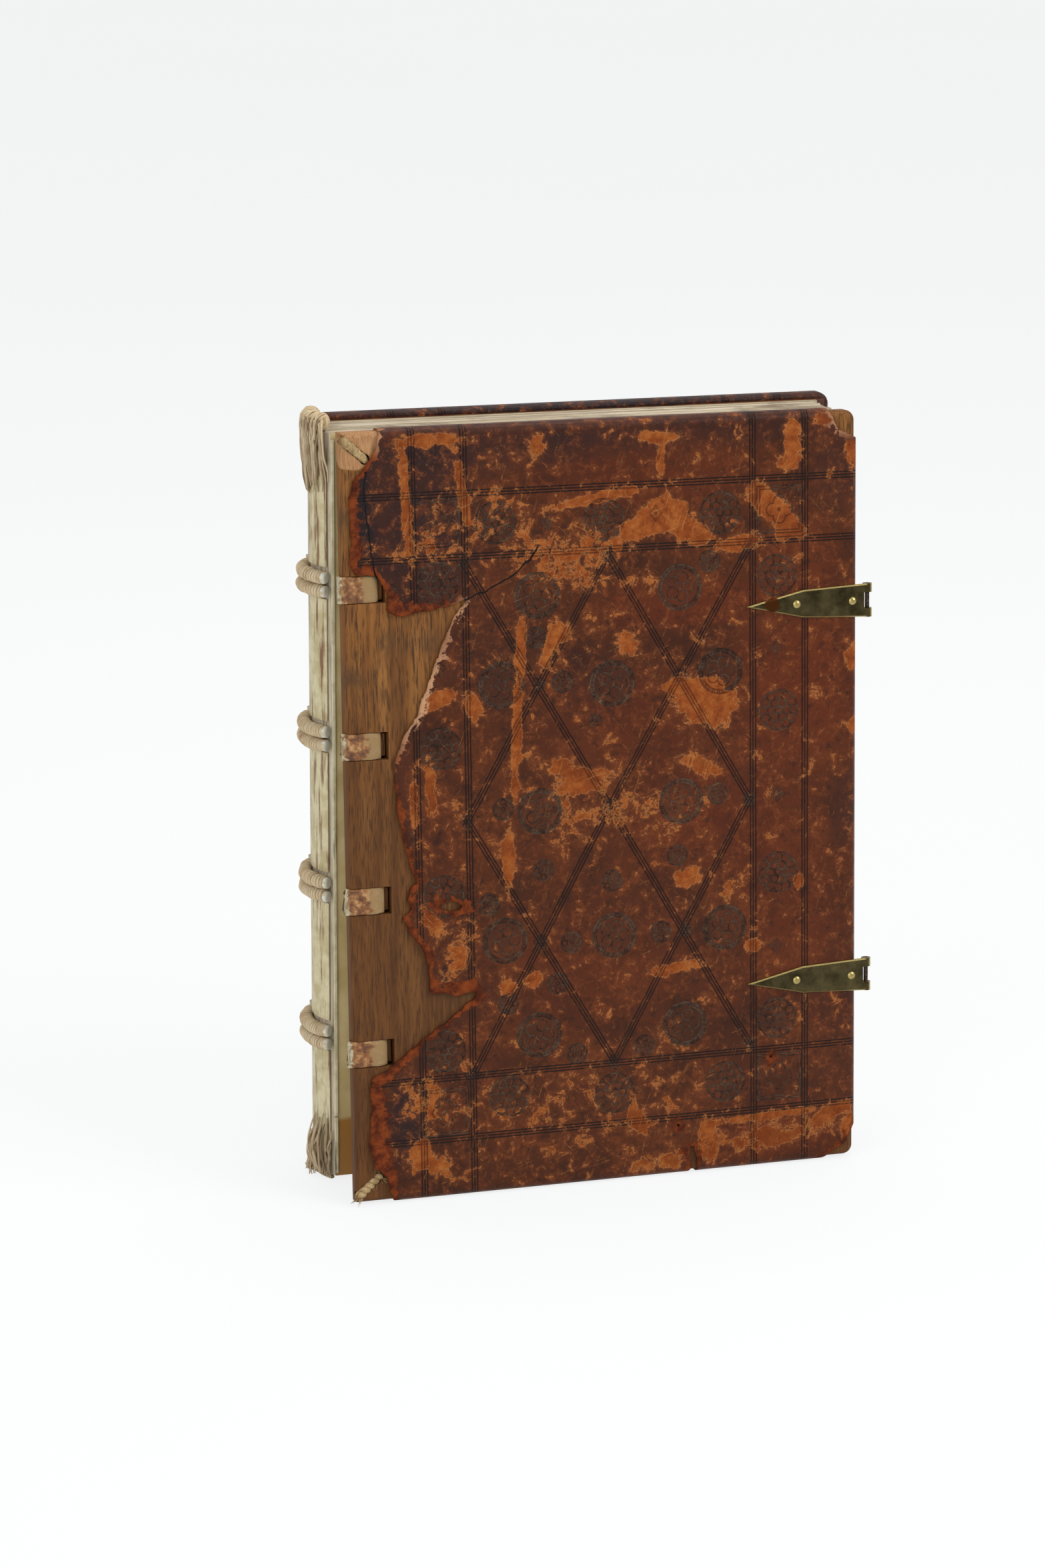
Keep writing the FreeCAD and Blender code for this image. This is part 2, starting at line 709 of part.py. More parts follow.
def rivet(u, v):
    """A rivet with a low domed head on the plate and a shank in the wood."""
    dome_radius = (rivet_head_radius ** 2 + rivet_head_height ** 2) / (2.0 * rivet_head_height)
    ball = Part.makeSphere(dome_radius, vec(u, -plate_thickness - rivet_head_height + dome_radius, v))
    keep = Part.makeBox(
        4.0 * rivet_head_radius, rivet_head_height, 4.0 * rivet_head_radius,
        vec(u - 2.0 * rivet_head_radius, -plate_thickness - rivet_head_height, v - 2.0 * rivet_head_radius))
    shank = Part.makeCylinder(
        rivet_shank_radius, rivet_shank_length + plate_thickness, vec(u, -plate_thickness, v), vec(0, 1, 0))
    return ball.common(keep).fuse(shank).removeSplitter()


def front_cover():
    """The front board and all that is on it, leaning on the leaves."""
    rivets = rivet_places(upper_plate_height) + rivet_places(lower_plate_height)
    pieces = {
        "front_board": laced_board(rivets),
        "front_board_leather": front_leather(rivets),
        "front_pastedown": pastedown(),
        "front_head_slip": laced_slip(board_height, -1.0),
        "front_tail_slip": laced_slip(0.0, 1.0),
    }
    for index in range(1, thong_count + 1):
        pieces["front_thong_stub_%d" % index] = broken_thong(thong_height(index))
        pieces["front_thong_wedge_%d" % index] = lacing_wedge(thong_height(index))
    for name, plate_v in (("upper", upper_plate_height), ("lower", lower_plate_height)):
        pieces[name + "_catch_plate"] = catch_plate(plate_v)
        pieces[name + "_catch_bar"] = catch_bar(plate_v)
        pieces[name + "_catch_rivets"] = catch_rivets(plate_v)
    return {name: lean_against_leaves(shape) for name, shape in pieces.items()}


def back_cover():
    """The back board and all that moves with it."""
    pieces = {
        "back_board": laced_board([]),
        "back_board_leather": back_leather(),
        "back_pastedown": pastedown(),
        "back_head_slip": laced_slip(board_height, -1.0),
        "back_tail_slip": laced_slip(0.0, 1.0),
    }
    for index in range(1, thong_count + 1):
        pieces["back_thong_%d" % index] = whole_thong(thong_height(index))
        pieces["back_thong_wedge_%d" % index] = lacing_wedge(thong_height(index))
    return {name: hang_at_back(shape) for name, shape in pieces.items()}


def sewn_leaves():
    """The leaves, their sewing and their endbands."""
    guard_low = tail_square + guard_end_square
    guard_high = head_z - 2.0 * guard_end_square
    pieces = {
        "text_block": leaves(),
        "front_flyleaf": flyleaf(0.0),
        "back_flyleaf": flyleaf(text_thickness - flyleaf_thickness),
        "joint_guard_lower": joint_guard(guard_low, guard_split_height),
        "joint_guard_upper": joint_guard(guard_split_height + guard_split_gap, guard_high),
        "head_endband_core": head_band_core(),
        "head_endband_threads": head_band_threads(),
        "tail_endband_core": tail_band_core(),
        "tail_endband_threads": tail_band_threads(),
    }
    for index in range(1, thong_count + 1):
        pieces["spine_thong_%d" % index] = thong_on_spine(index)
        pieces["sewing_wrap_%d" % index] = sewing_wrap(index)
    for index in range(1, thong_count + 2):
        pieces["spine_lining_%d" % index] = spine_lining(index)
    return pieces


def main():
    """Make every piece, move the origin to the middle of the base, and write the files."""
    os.makedirs("parts", exist_ok=True)
    pieces = sewn_leaves()
    pieces.update(front_cover())
    pieces.update(back_cover())
    for name, shape in pieces.items():
        shape.translate(row_origin.negative())
        shape.exportStep("parts/%s.step" % name)
    joint = vec(joint_x, joint_y, 0).sub(row_origin)
    print("pieces", len(pieces), "joint axis at", round(joint.x, 4), round(joint.y, 4))


main()
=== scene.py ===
"""Dresses the antique leather book: torn blind-tooled calf over oak boards, a bare sewn spine and two catch plates."""

import logging
import math
from dataclasses import dataclass
from enum import Enum
from typing import Mapping, Sequence

import bpy
import numpy as np
from mathutils import Matrix, Vector


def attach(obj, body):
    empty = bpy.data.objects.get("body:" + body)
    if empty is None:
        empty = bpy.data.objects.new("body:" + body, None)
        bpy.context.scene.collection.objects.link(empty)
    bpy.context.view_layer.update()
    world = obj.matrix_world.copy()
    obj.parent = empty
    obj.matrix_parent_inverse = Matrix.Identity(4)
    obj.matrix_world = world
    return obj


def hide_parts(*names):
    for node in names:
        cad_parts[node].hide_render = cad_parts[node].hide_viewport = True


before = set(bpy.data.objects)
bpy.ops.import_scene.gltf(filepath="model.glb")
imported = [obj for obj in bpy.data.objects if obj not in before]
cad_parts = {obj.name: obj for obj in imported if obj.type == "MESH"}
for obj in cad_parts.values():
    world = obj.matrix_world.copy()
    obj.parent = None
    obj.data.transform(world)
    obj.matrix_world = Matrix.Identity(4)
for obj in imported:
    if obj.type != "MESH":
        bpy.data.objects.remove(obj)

LOG = logging.getLogger("book")
MM = 0.001
Points = Sequence[tuple[float, float]]
Blobs = Sequence[tuple[float, float, float, float, float, float]]
Socket = bpy.types.NodeSocket


# ---- colour and materials


def srgb(code: str) -> tuple[float, float, float, float]:
    """Turn a colour from sRGB to linear.

    Args:
        code: The colour as "#rrggbb".

    Returns:
        Linear red, green, blue and an alpha of 1.
    """
    values = [int(code[start:start + 2], 16) / 255.0 for start in (1, 3, 5)]
    linear = [c / 12.92 if c <= 0.04045 else ((c + 0.055) / 1.055) ** 2.4 for c in values]
    return (linear[0], linear[1], linear[2], 1.0)


def per(size_mm: float) -> float:
    """The texture scale at which a pattern's features are about this many millimetres across."""
    return 1.0 / (size_mm * MM)


class Recipe:
    """A node material while it is put together."""

    def __init__(self, name: str) -> None:
        """Start a material with no nodes but its output.

        Args:
            name: The material's name.
        """
        self.material = bpy.data.materials.new(name)
        self.material.use_nodes = True
        self.tree = self.material.node_tree
        self.tree.nodes.clear()

    def add(self, kind: str, inputs: Sequence | Mapping = (), out: int | str = 0,
            stops: Sequence[tuple[float, str]] = (), **settings: object) -> Socket:
        """Add one node with its settings and links.

        Args:
            kind: The node's type without its ShaderNode prefix, and a maths node's operation after a space.
            inputs: Values or sockets by place or by name; None leaves an input as it is.
            out: Which output to hand back.
            stops: Places and colours of a colour ramp.
            settings: Properties of the node.

        Returns:
            The output socket.
        """
        kind, *operation = kind.split()
        node = self.tree.nodes.new("ShaderNode" + kind)
        if operation:
            node.operation = operation[0]
        for name, value in settings.items():
            setattr(node, name, value)
        for key, value in (inputs.items() if isinstance(inputs, Mapping) else enumerate(inputs)):
            if isinstance(value, bpy.types.NodeSocket):
                self.tree.links.new(value, node.inputs[key])
            elif value is not None:
                node.inputs[key].default_value = srgb(value) if isinstance(value, str) else value
        for index, (place, code) in enumerate(stops):
            elements = node.color_ramp.elements
            element = elements[index] if index < 2 else elements.new(place)
            element.position = place
            element.color = srgb(code)
        return node.outputs[out] if len(node.outputs) else None

    def finish(self, **inputs: object) -> bpy.types.Material:
        """Close the material with a principled shader.

        Args:
            inputs: The shader's inputs, with _ for each space in their names.

        Returns:
            The material.
        """
        named = {name.replace("_", " "): value for name, value in inputs.items()}
        shader = self.add("BsdfPrincipled", named)
        self.add("OutputMaterial", (shader,))
        return self.material

    def near(self, value: Socket, middle: float, half: float, soft: float) -> Socket:
        """A soft-edged band: 1 where a value is within half of the middle, 0 past half and soft.

        Args:
            value: The value, such as a distance in mm.
            middle: The middle of the band.
            half: Half the band's width.
            soft: How wide its edge is.

        Returns:
            The band's mask.
        """
        offset = self.add("Math SUBTRACT", (value, middle))
        size = self.add("Math ABSOLUTE", (offset,))
        return self.step(size, half + soft, half)

    def step(self, value: Socket, start: float, end: float) -> Socket:
        """A smooth step from 0 at start to 1 at end."""
        return self.add("MapRange", (value, start, end, 0.0, 1.0), interpolation_type="SMOOTHSTEP")

    def most(self, masks: Sequence[Socket]) -> Socket:
        """The largest of several masks at each place.

        Args:
            masks: The masks, one or more.

        Returns:
            One mask.
        """
        total = masks[0]
        for mask in masks[1:]:
            total = self.add("Math MAXIMUM", (total, mask))
        return total

    def bead_ring(self, radius: Socket, angle: Socket, count: int, orbit: float, bead: float,
                  half: float) -> Socket:
        """A ring of small circles round a centre, drawn as their outlines.

        The angle is folded into one sector, and the distance from that sector's circle centre gives the line.

        Args:
            radius: Distance from the centre in mm.
            angle: Angle round the centre in radians.
            count: How many circles.
            orbit: The circles' distance from the centre in mm.
            bead: Each circle's radius in mm.
            half: Half the line's width in mm.

        Returns:
            The outlines' mask.
        """
        sector = math.pi / count
        folded = self.add("Math WRAP", (angle, sector, -sector))
        cosine = self.add("Math COSINE", (folded,))
        sine = self.add("Math SINE", (folded,))
        along = self.add("Math MULTIPLY_ADD", (radius, cosine, -orbit))
        across = self.add("Math MULTIPLY", (radius, sine))
        offset = self.add("CombineXYZ", (along, across, 0.0))
        distance = self.add("VectorMath LENGTH", (offset,), out="Value")
        return self.near(distance, bead, half, half)


class Stamp(Enum):
    """The binder's small tools, all of them common ornaments of the time."""

    ROSETTE = 0
    ROUNDEL = 1
    SQUARE = 2
    LOZENGE = 3
    WHEEL = 4
    SEVEN_DOTS = 5

    @property
    def radius(self) -> float:
        """How far the tool's mark reaches from its middle, in mm."""
        return (8.8, 9.6, 14.0, 3.6, 4.6, 3.0)[self.value]


@dataclass(frozen=True)
class BlindTooledCalf:
    """Calf, vegetable-tanned, drawn on wet and tooled blind with hot irons, then rubbed for centuries.

    The skin is dark and softly glossy. The tools left sunk, blackened lines. Where the grain layer has flaked off,
    the fibres below show as dull orange suede with ragged edges.
    """

    name: str = "blind_tooled_calf"
    grain_mm: float = 1.1
    flake_mm: float = 6.5
    line_half_mm: float = 0.15
    thin_from: float = 0.9
    flaked_from: float = 1.065
    flaked_full: float = 1.08

    def tool_lines(self, recipe: Recipe) -> tuple[Socket, Socket]:
        """Draw every stamp in its own nearest-stamp coordinates.

        Args:
            recipe: The material under way.

        Returns:
            A mask of the sunk lines, and one of the round stamps' whole faces.
        """
        place = recipe.add("Attribute", out="Vector", attribute_name="stamp")
        x, y, kind = recipe.add("SeparateXYZ", (place,)).node.outputs
        flat = recipe.add("CombineXYZ", (x, y, 0.0))
        radius = recipe.add("VectorMath LENGTH", (flat,), out="Value")
        angle = recipe.add("Math ARCTAN2", (y, x))
        ax = recipe.add("Math ABSOLUTE", (x,))
        ay = recipe.add("Math ABSOLUTE", (y,))
        square = recipe.add("Math MAXIMUM", (ax, ay))
        slant = recipe.add("Math MULTIPLY_ADD", (ax, 1.2, ay))
        half = self.line_half_mm
        marks = {
            Stamp.ROSETTE: (
                recipe.near(radius, 8.4, half, half),
                recipe.bead_ring(radius, angle, 12, 6.5, 1.72, half),
                recipe.bead_ring(radius, angle, 6, 3.2, 1.55, half),
                recipe.near(radius, 1.3, half, half)),
            Stamp.ROUNDEL: (
                recipe.near(radius, 9.2, 1.6 * half, half),
                recipe.near(radius, 7.7, half, half),
                recipe.bead_ring(radius, angle, 26, 8.45, 0.5, half),
                recipe.bead_ring(radius, angle, 5, 3.9, 2.3, half)),
            Stamp.SQUARE: (
                recipe.near(square, 9.6, 1.3 * half, half),
                recipe.near(square, 8.4, half, half),
                recipe.bead_ring(radius, angle, 4, 3.0, 2.6, half)),
            Stamp.LOZENGE: (
                recipe.near(slant, 3.3, half, half),
                recipe.near(slant, 2.4, half, half),
                recipe.near(radius, 0.5, half, half)),
            Stamp.WHEEL: (
                recipe.near(radius, 4.3, half, half),
                recipe.bead_ring(radius, angle, 8, 2.8, 1.05, half),
                recipe.near(radius, 0.7, half, half)),
            Stamp.SEVEN_DOTS: (
                recipe.bead_ring(radius, angle, 6, 1.9, 0.85, half),
                recipe.near(radius, 0.6, half, half)),
        }
        lines, discs = [], []
        for stamp, masks in marks.items():
            chosen = recipe.add("Math COMPARE", (kind, float(stamp.value), 0.4))
            lines.append(recipe.add("Math MULTIPLY", (recipe.most(masks), chosen)))
            if stamp in (Stamp.ROSETTE, Stamp.ROUNDEL, Stamp.WHEEL):
                disc = recipe.step(radius, stamp.radius, stamp.radius - 0.7)
                discs.append(recipe.add("Math MULTIPLY", (disc, chosen)))
        return recipe.most(lines), recipe.most(discs)

    def fillets(self, recipe: Recipe, apart: float = 1.15, half: float = 0.17, soft: float = 0.16) -> Socket:
        """Draw the ruled lines, three side by side, from the signed distances to the nearest of each family.

        Args:
            recipe: The material under way.
            apart: How far the outer lines lie from the middle one, in mm.
            half: Half a line's width in mm.
            soft: How wide a line's edge is, in mm.

        Returns:
            A mask of the sunk lines.
        """
        lines = []
        for name in ("fillet_frame", "fillet_lattice"):
            distances = recipe.add("Attribute", out="Vector", attribute_name=name)
            for distance in recipe.add("SeparateXYZ", (distances,)).node.outputs[:2]:
                lines.append(recipe.near(distance, 0.0, half, soft))
                size = recipe.add("Math ABSOLUTE", (distance,))
                lines.append(recipe.near(size, apart, half, soft))
        return recipe.most(lines)

    def make(self) -> bpy.types.Material:
        """Put the calf's material together.

        Returns:
            The material.
        """
        recipe = Recipe(self.name)
        spot = recipe.add("TexCoord", out="Object")
        wear, dark, red = recipe.add(
            "SeparateXYZ", (recipe.add("Attribute", out="Vector", attribute_name="tone"),)).node.outputs
        torn, pale, crack = recipe.add(
            "SeparateXYZ", (recipe.add("Attribute", out="Vector", attribute_name="edge"),)).node.outputs
        stamps, pressed = self.tool_lines(recipe)
        ruled = self.fillets(recipe)

        # ragged flaking: a broad noise gives the patches, and finer ones their torn outlines
        broad = recipe.add("TexNoise", {
            "Vector": spot, "Scale": per(self.flake_mm), "Detail": 9.0, "Roughness": 0.68, "Distortion": 0.6})
        fine = recipe.add("TexNoise", {"Vector": spot, "Scale": per(2.2), "Detail": 6.0, "Roughness": 0.72})
        ragged = recipe.add("Math MULTIPLY_ADD", (fine, 0.5, broad))
        worn = recipe.add("Math MULTIPLY_ADD", (pressed, -0.05, wear))
        field = recipe.add("Math ADD", (worn, ragged))
        flaked = recipe.step(field, self.flaked_from, self.flaked_full)
        thin = recipe.step(field, self.thin_from, self.flaked_from)

        # scratches: noise drawn out along three directions, kept only where it crosses its middle value
        scratches = []
        directions = ((0.35, 16.0, 0.75, 0.62), (1.25, 12.0, 0.6, 0.60), (-0.8, 14.0, 0.7, 0.63))
        for turn, length, width, keep in directions:
            turned = recipe.add("Mapping", {"Vector": spot, "Rotation": (0.0, turn, 0.0)})
            drawn = recipe.add("VectorMath MULTIPLY", (turned, (per(length), per(4.0), per(width))))
            streak = recipe.add("TexNoise", {"Vector": drawn, "Scale": 1.0, "Detail": 3.0, "Roughness": 0.6})
            scratches.append(recipe.step(streak, keep + 0.03, keep + 0.055))
        scratched = recipe.most(scratches)
        loose = recipe.step(recipe.add("Math ADD", (wear, fine)), 0.62, 0.84)
        scratched = recipe.add("Math MULTIPLY", (scratched, loose))
        bare = recipe.most((flaked, scratched))

        # the skin's own colour
        clouds = recipe.add("TexNoise", {"Vector": spot, "Scale": per(26.0), "Detail": 5.0, "Roughness": 0.6})
        mottle = recipe.add("TexNoise", {"Vector": spot, "Scale": per(3.5), "Detail": 5.0, "Roughness": 0.7})
        skin = recipe.add("ValToRGB", (clouds,), stops=((0.3, "#37190b"), (0.7, "#592a10")))
        skin = recipe.add("Mix", {0: recipe.add("Math MULTIPLY", (red, 0.9)), 6: skin, 7: "#5f260c"},
                          out=2, data_type="RGBA")
        skin = recipe.add("Mix", {0: dark, 6: skin, 7: "#221719"}, out=2, data_type="RGBA")
        skin = recipe.add("Mix", {0: recipe.step(mottle, 0.5, 0.75), 6: skin, 7: "#2e170c"}, out=2,
                          data_type="RGBA")
        skin = recipe.add("Mix", {0: recipe.add("Math MULTIPLY", (thin, 0.45)), 6: skin, 7: "#7c3f1c"},
                          out=2, data_type="RGBA")

        # tooling keeps soot and wax in its lines
        tooled = recipe.most((stamps, ruled))
        inked = recipe.add("Mix", {0: recipe.add("Math MULTIPLY", (pressed, 0.15)), 6: skin,
                                   7: "#38261c"}, out=2, data_type="RGBA")
        waxy = recipe.add("ValToRGB", (mottle,), stops=((0.42, "#160f0b"), (0.6, "#514234")))
        inked = recipe.add("Mix", {0: recipe.add("Math MULTIPLY", (stamps, 0.8)), 6: inked,
                                   7: waxy}, out=2, data_type="RGBA")
        inked = recipe.add("Mix", {0: recipe.add("Math MULTIPLY", (ruled, 0.95)), 6: inked,
                                   7: "#190b07"}, out=2, data_type="RGBA")

        suede_noise = recipe.add("TexNoise", {"Vector": spot, "Scale": per(5.0), "Detail": 7.0, "Roughness": 0.7})
        suede = recipe.add("ValToRGB", (suede_noise,), stops=((0.32, "#662b0e"), (0.5, "#874318"), (0.68, "#a05d29")))
        deep = recipe.most((recipe.step(clouds, 0.5, 0.66), recipe.step(red, 0.3, 0.9)))
        suede = recipe.add("Mix", {0: recipe.add("Math MULTIPLY", (deep, 0.65)), 6: suede,
                                   7: "#662c0e"}, out=2, data_type="RGBA")
        kept_lines = recipe.add("Math MULTIPLY", (tooled, 0.7))
        suede = recipe.add("Mix", {0: kept_lines, 6: suede, 7: "#3d1d10"}, out=2, data_type="RGBA")
        colour = recipe.add("Mix", {0: flaked, 6: inked, 7: suede}, out=2, data_type="RGBA")
        broken = recipe.add("Math MULTIPLY", (recipe.near(field, self.flaked_full, 0.008, 0.014), 0.8))
        colour = recipe.add("Mix", {0: broken, 6: colour, 7: "#bd7c46"}, out=2, data_type="RGBA")
        scuff = recipe.add("Math MULTIPLY", (scratched, 0.5))
        colour = recipe.add("Mix", {0: scuff, 6: colour, 7: "#a8703f"}, out=2, data_type="RGBA")

        # torn edge: a band of bare red suede that narrows and widens
        wander = recipe.add("Math MULTIPLY_ADD", (ragged, -14.0, torn))
        rim = recipe.step(wander, -8.2, -8.8)
        rim_colour = recipe.add("Mix", {0: recipe.step(suede_noise, 0.36, 0.64), 6: "#451a0b", 7: "#7d3915"}, out=2,
                                data_type="RGBA")
        rim_colour = recipe.add("Mix", {0: pale, 6: rim_colour, 7: "#b98b68"}, out=2, data_type="RGBA")
        colour = recipe.add("Mix", {0: rim, 6: colour, 7: rim_colour}, out=2, data_type="RGBA")
        gap = recipe.near(crack, 0.0, 0.22, 0.2)
        colour = recipe.add("Mix", {0: gap, 6: colour, 7: "#120a08"}, out=2, data_type="RGBA")

        # relief: sunk lines, flaked grain a step lower, pores over all
        pores = recipe.add("TexVoronoi", {"Vector": spot, "Scale": per(self.grain_mm)}, feature="F1")
        sunk = recipe.add("Math MULTIPLY_ADD", (tooled, -1.0, 1.0))
        level = recipe.add("Math MULTIPLY_ADD", (bare, -0.35, sunk))
        level = recipe.add("Math MULTIPLY_ADD", (rim, -0.4, level))
        level = recipe.add("Math MULTIPLY_ADD", (gap, -1.5, level))
        bump = recipe.add("Bump", {"Strength": 0.9, "Distance": 0.35 * MM, "Height": level})
        texture = recipe.add("Math MULTIPLY_ADD", (pores, 0.35, mottle))
        bump = recipe.add("Bump", {"Strength": 0.5, "Distance": 0.22 * MM, "Height": texture, "Normal": bump})
        dull = recipe.most((bare, rim))
        gloss = recipe.add("MapRange", (mottle, 0.3, 0.7, 0.3, 0.5))
        roughness = recipe.add("Mix", (dull, None, gloss, 0.85), out=0, data_type="FLOAT")
        return recipe.finish(Base_Color=colour, Roughness=roughness, Normal=bump, Specular_IOR_Level=0.16)


@dataclass(frozen=True)
class OakBoard:
    """Quarter-sawn oak, split and planed by hand, bare since the leather tore.

    Fine upright pores and a few ray flecks on a dull, dirty brown that darkens towards the bottom.
    """

    name: str = "quarter_sawn_oak"
    pore_mm: float = 0.55
    scrap: tuple[float, float, float] = (-0.0985, -0.0125, 0.3105)

    def make(self) -> bpy.types.Material:
        """Put the oak's material together.

        Returns:
            The material.
        """
        recipe = Recipe(self.name)
        spot = recipe.add("TexCoord", out="Object")
        drawn = recipe.add("VectorMath MULTIPLY", (spot, (per(self.pore_mm), per(self.pore_mm), per(150.0))))
        pores = recipe.add("TexNoise", {"Vector": drawn, "Scale": 1.0, "Detail": 3.0, "Roughness": 0.6})
        bands = recipe.add("VectorMath MULTIPLY", (spot, (per(4.0), per(4.0), per(260.0))))
        growth = recipe.add("TexNoise", {"Vector": bands, "Scale": 1.0, "Detail": 4.0, "Distortion": 0.4})
        stain = recipe.add("TexNoise", {"Vector": spot, "Scale": per(34.0), "Detail": 5.0, "Roughness": 0.6})
        colour = recipe.add("ValToRGB", (growth,), stops=((0.3, "#633c1a"), (0.5, "#815225"), (0.7, "#966633")))
        colour = recipe.add("Mix", {0: recipe.step(pores, 0.46, 0.66), 6: colour, 7: "#452d18"}, out=2,
                            data_type="RGBA")
        colour = recipe.add("Mix", {0: recipe.step(stain, 0.52, 0.72), 6: colour, 7: "#553a23"}, out=2,
                            data_type="RGBA")
        # darker towards the bottom of the board
        lower = recipe.step(recipe.add("SeparateXYZ", (spot,), out=2), 0.25, 0.14)
        colour = recipe.add("Mix", {0: recipe.add("Math MULTIPLY", (lower, 0.6)), 6: colour,
                                    7: "#472913"}, out=2, data_type="RGBA")
        away = recipe.add("VectorMath DISTANCE", (spot, self.scrap), out="Value")
        ragged = recipe.add("Math MULTIPLY_ADD", (stain, 0.01, away))
        hide = recipe.add("ValToRGB", (pores,), stops=((0.35, "#8d6340"), (0.6, "#b3875c")))
        colour = recipe.add("Mix", {0: recipe.step(ragged, 0.0165, 0.0155), 6: colour, 7: hide}, out=2,
                            data_type="RGBA")
        bump = recipe.add("Bump", {"Strength": 0.6, "Distance": 0.2 * MM, "Height": pores})
        return recipe.finish(Base_Color=colour, Roughness=0.68, Normal=bump, Specular_IOR_Level=0.2)


@dataclass(frozen=True)
class TawedThong:
    """Alum-tawed pigskin, cut in a strap and laced through the board.

    Chalky and white where it broke, and stained a rusty brown and polished where the cover leather lay on it.
    """

    name: str = "alum_tawed_thong"

    def make(self) -> bpy.types.Material:
        """Put the thong's material together.

        Returns:
            The material.
        """
        recipe = Recipe(self.name)
        spot = recipe.add("TexCoord", out="Object")
        patch = recipe.add("TexNoise", {"Vector": spot, "Scale": per(4.0), "Detail": 7.0, "Roughness": 0.7})
        fibre = recipe.add("TexNoise", {"Vector": spot, "Scale": per(0.8), "Detail": 5.0, "Roughness": 0.7})
        colour = recipe.add("ValToRGB", (patch,), stops=((0.34, "#b9a888"), (0.55, "#cdbf9f"), (0.75, "#9a7448")))
        colour = recipe.add("Mix", {0: recipe.step(fibre, 0.55, 0.8), 6: colour, 7: "#8c6a44"}, out=2,
                            data_type="RGBA")
        bump = recipe.add("Bump", {"Strength": 0.7, "Distance": 0.25 * MM, "Height": fibre})
        return recipe.finish(Base_Color=colour, Roughness=0.8, Normal=bump)


@dataclass(frozen=True)
class LinenThread:
    """Unbleached linen sewing thread, plied and packed tight, gone cream and greasy.

    A warm pale tan, with painted shade darkening the furrows between turns of thread.
    """

    name: str = "linen_thread"

    def make(self) -> bpy.types.Material:
        """Put the thread's material together.

        Returns:
            The material.
        """
        recipe = Recipe(self.name)
        spot = recipe.add("TexCoord", out="Object")
        dirt = recipe.add("TexNoise", {"Vector": spot, "Scale": per(6.0), "Detail": 6.0, "Roughness": 0.65})
        fibre = recipe.add("TexNoise", {"Vector": spot, "Scale": per(0.35), "Detail": 3.0, "Roughness": 0.6})
        colour = recipe.add("ValToRGB", (dirt,), stops=((0.3, "#d9c7a6"), (0.55, "#c9b28d"), (0.78, "#967652")))
        furrow = recipe.add("Attribute", out="Fac", attribute_name="furrow")
        # painted shade: the dark brown fills the furrows between turns and the shadowed gaps; on loose threads the same
        # value is a random darker tone of the thread
        colour = recipe.add("Mix", {0: furrow, 6: colour, 7: "#5f4629"}, out=2, data_type="RGBA")
        bump = recipe.add("Bump", {"Strength": 0.5, "Distance": 0.12 * MM, "Height": fibre})
        return recipe.finish(Base_Color=colour, Roughness=0.82, Normal=bump)


@dataclass(frozen=True)
class HempCord:
    """Hemp cord, twisted and cut short: straw-coloured fibres that catch the light along the twist."""

    name: str = "hemp_cord"

    def make(self) -> bpy.types.Material:
        """Put the cord's material together.

        Returns:
            The material.
        """
        recipe = Recipe(self.name)
        spot = recipe.add("TexCoord", out="Object")
        fibre = recipe.add("TexNoise", {"Vector": spot, "Scale": per(0.7), "Detail": 6.0, "Roughness": 0.7})
        dirt = recipe.add("TexNoise", {"Vector": spot, "Scale": per(5.0), "Detail": 4.0})
        colour = recipe.add("ValToRGB", (fibre,), stops=((0.3, "#7b5c38"), (0.5, "#b59a6a"), (0.7, "#cdb588")))
        colour = recipe.add("Mix", {0: recipe.step(dirt, 0.5, 0.75), 6: colour, 7: "#8a6a42"}, out=2,
                            data_type="RGBA")
        bump = recipe.add("Bump", {"Strength": 0.8, "Distance": 0.3 * MM, "Height": fibre})
        return recipe.finish(Base_Color=colour, Roughness=0.85, Normal=bump)


@dataclass(frozen=True)
class Parchment:
    """Parchment pasted with hide glue: hard, yellowed, slightly glossy, with brown glue runs and cockled grain."""

    name: str = "parchment"
    light: str = "#cdc29c"
    middle: str = "#b5a679"
    stain: str = "#7a5330"
    stain_low: float = 0.5
    stain_high: float = 0.64

    def make(self) -> bpy.types.Material:
        """Put the parchment's material together.

        Returns:
            The material.
        """
        recipe = Recipe(self.name)
        spot = recipe.add("TexCoord", out="Object")
        upright = recipe.add("VectorMath MULTIPLY", (spot, (per(2.2), per(2.2), per(26.0))))
        run = recipe.add("TexNoise", {"Vector": upright, "Scale": 1.0, "Detail": 7.0, "Roughness": 0.62})
        cockle = recipe.add("TexNoise", {"Vector": spot, "Scale": per(7.0), "Detail": 6.0, "Roughness": 0.6})
        colour = recipe.add("Mix", {0: recipe.step(cockle, 0.4, 0.65), 6: self.light, 7: self.middle}, out=2,
                            data_type="RGBA")
        brown = recipe.step(run, self.stain_low, self.stain_high)
        colour = recipe.add("Mix", {0: brown, 6: colour, 7: self.stain}, out=2, data_type="RGBA")
        relief = recipe.add("Math MULTIPLY_ADD", (run, 0.8, cockle))
        bump = recipe.add("Bump", {"Strength": 0.6, "Distance": 0.5 * MM, "Height": relief})
        return recipe.finish(Base_Color=colour, Roughness=0.5, Normal=bump)


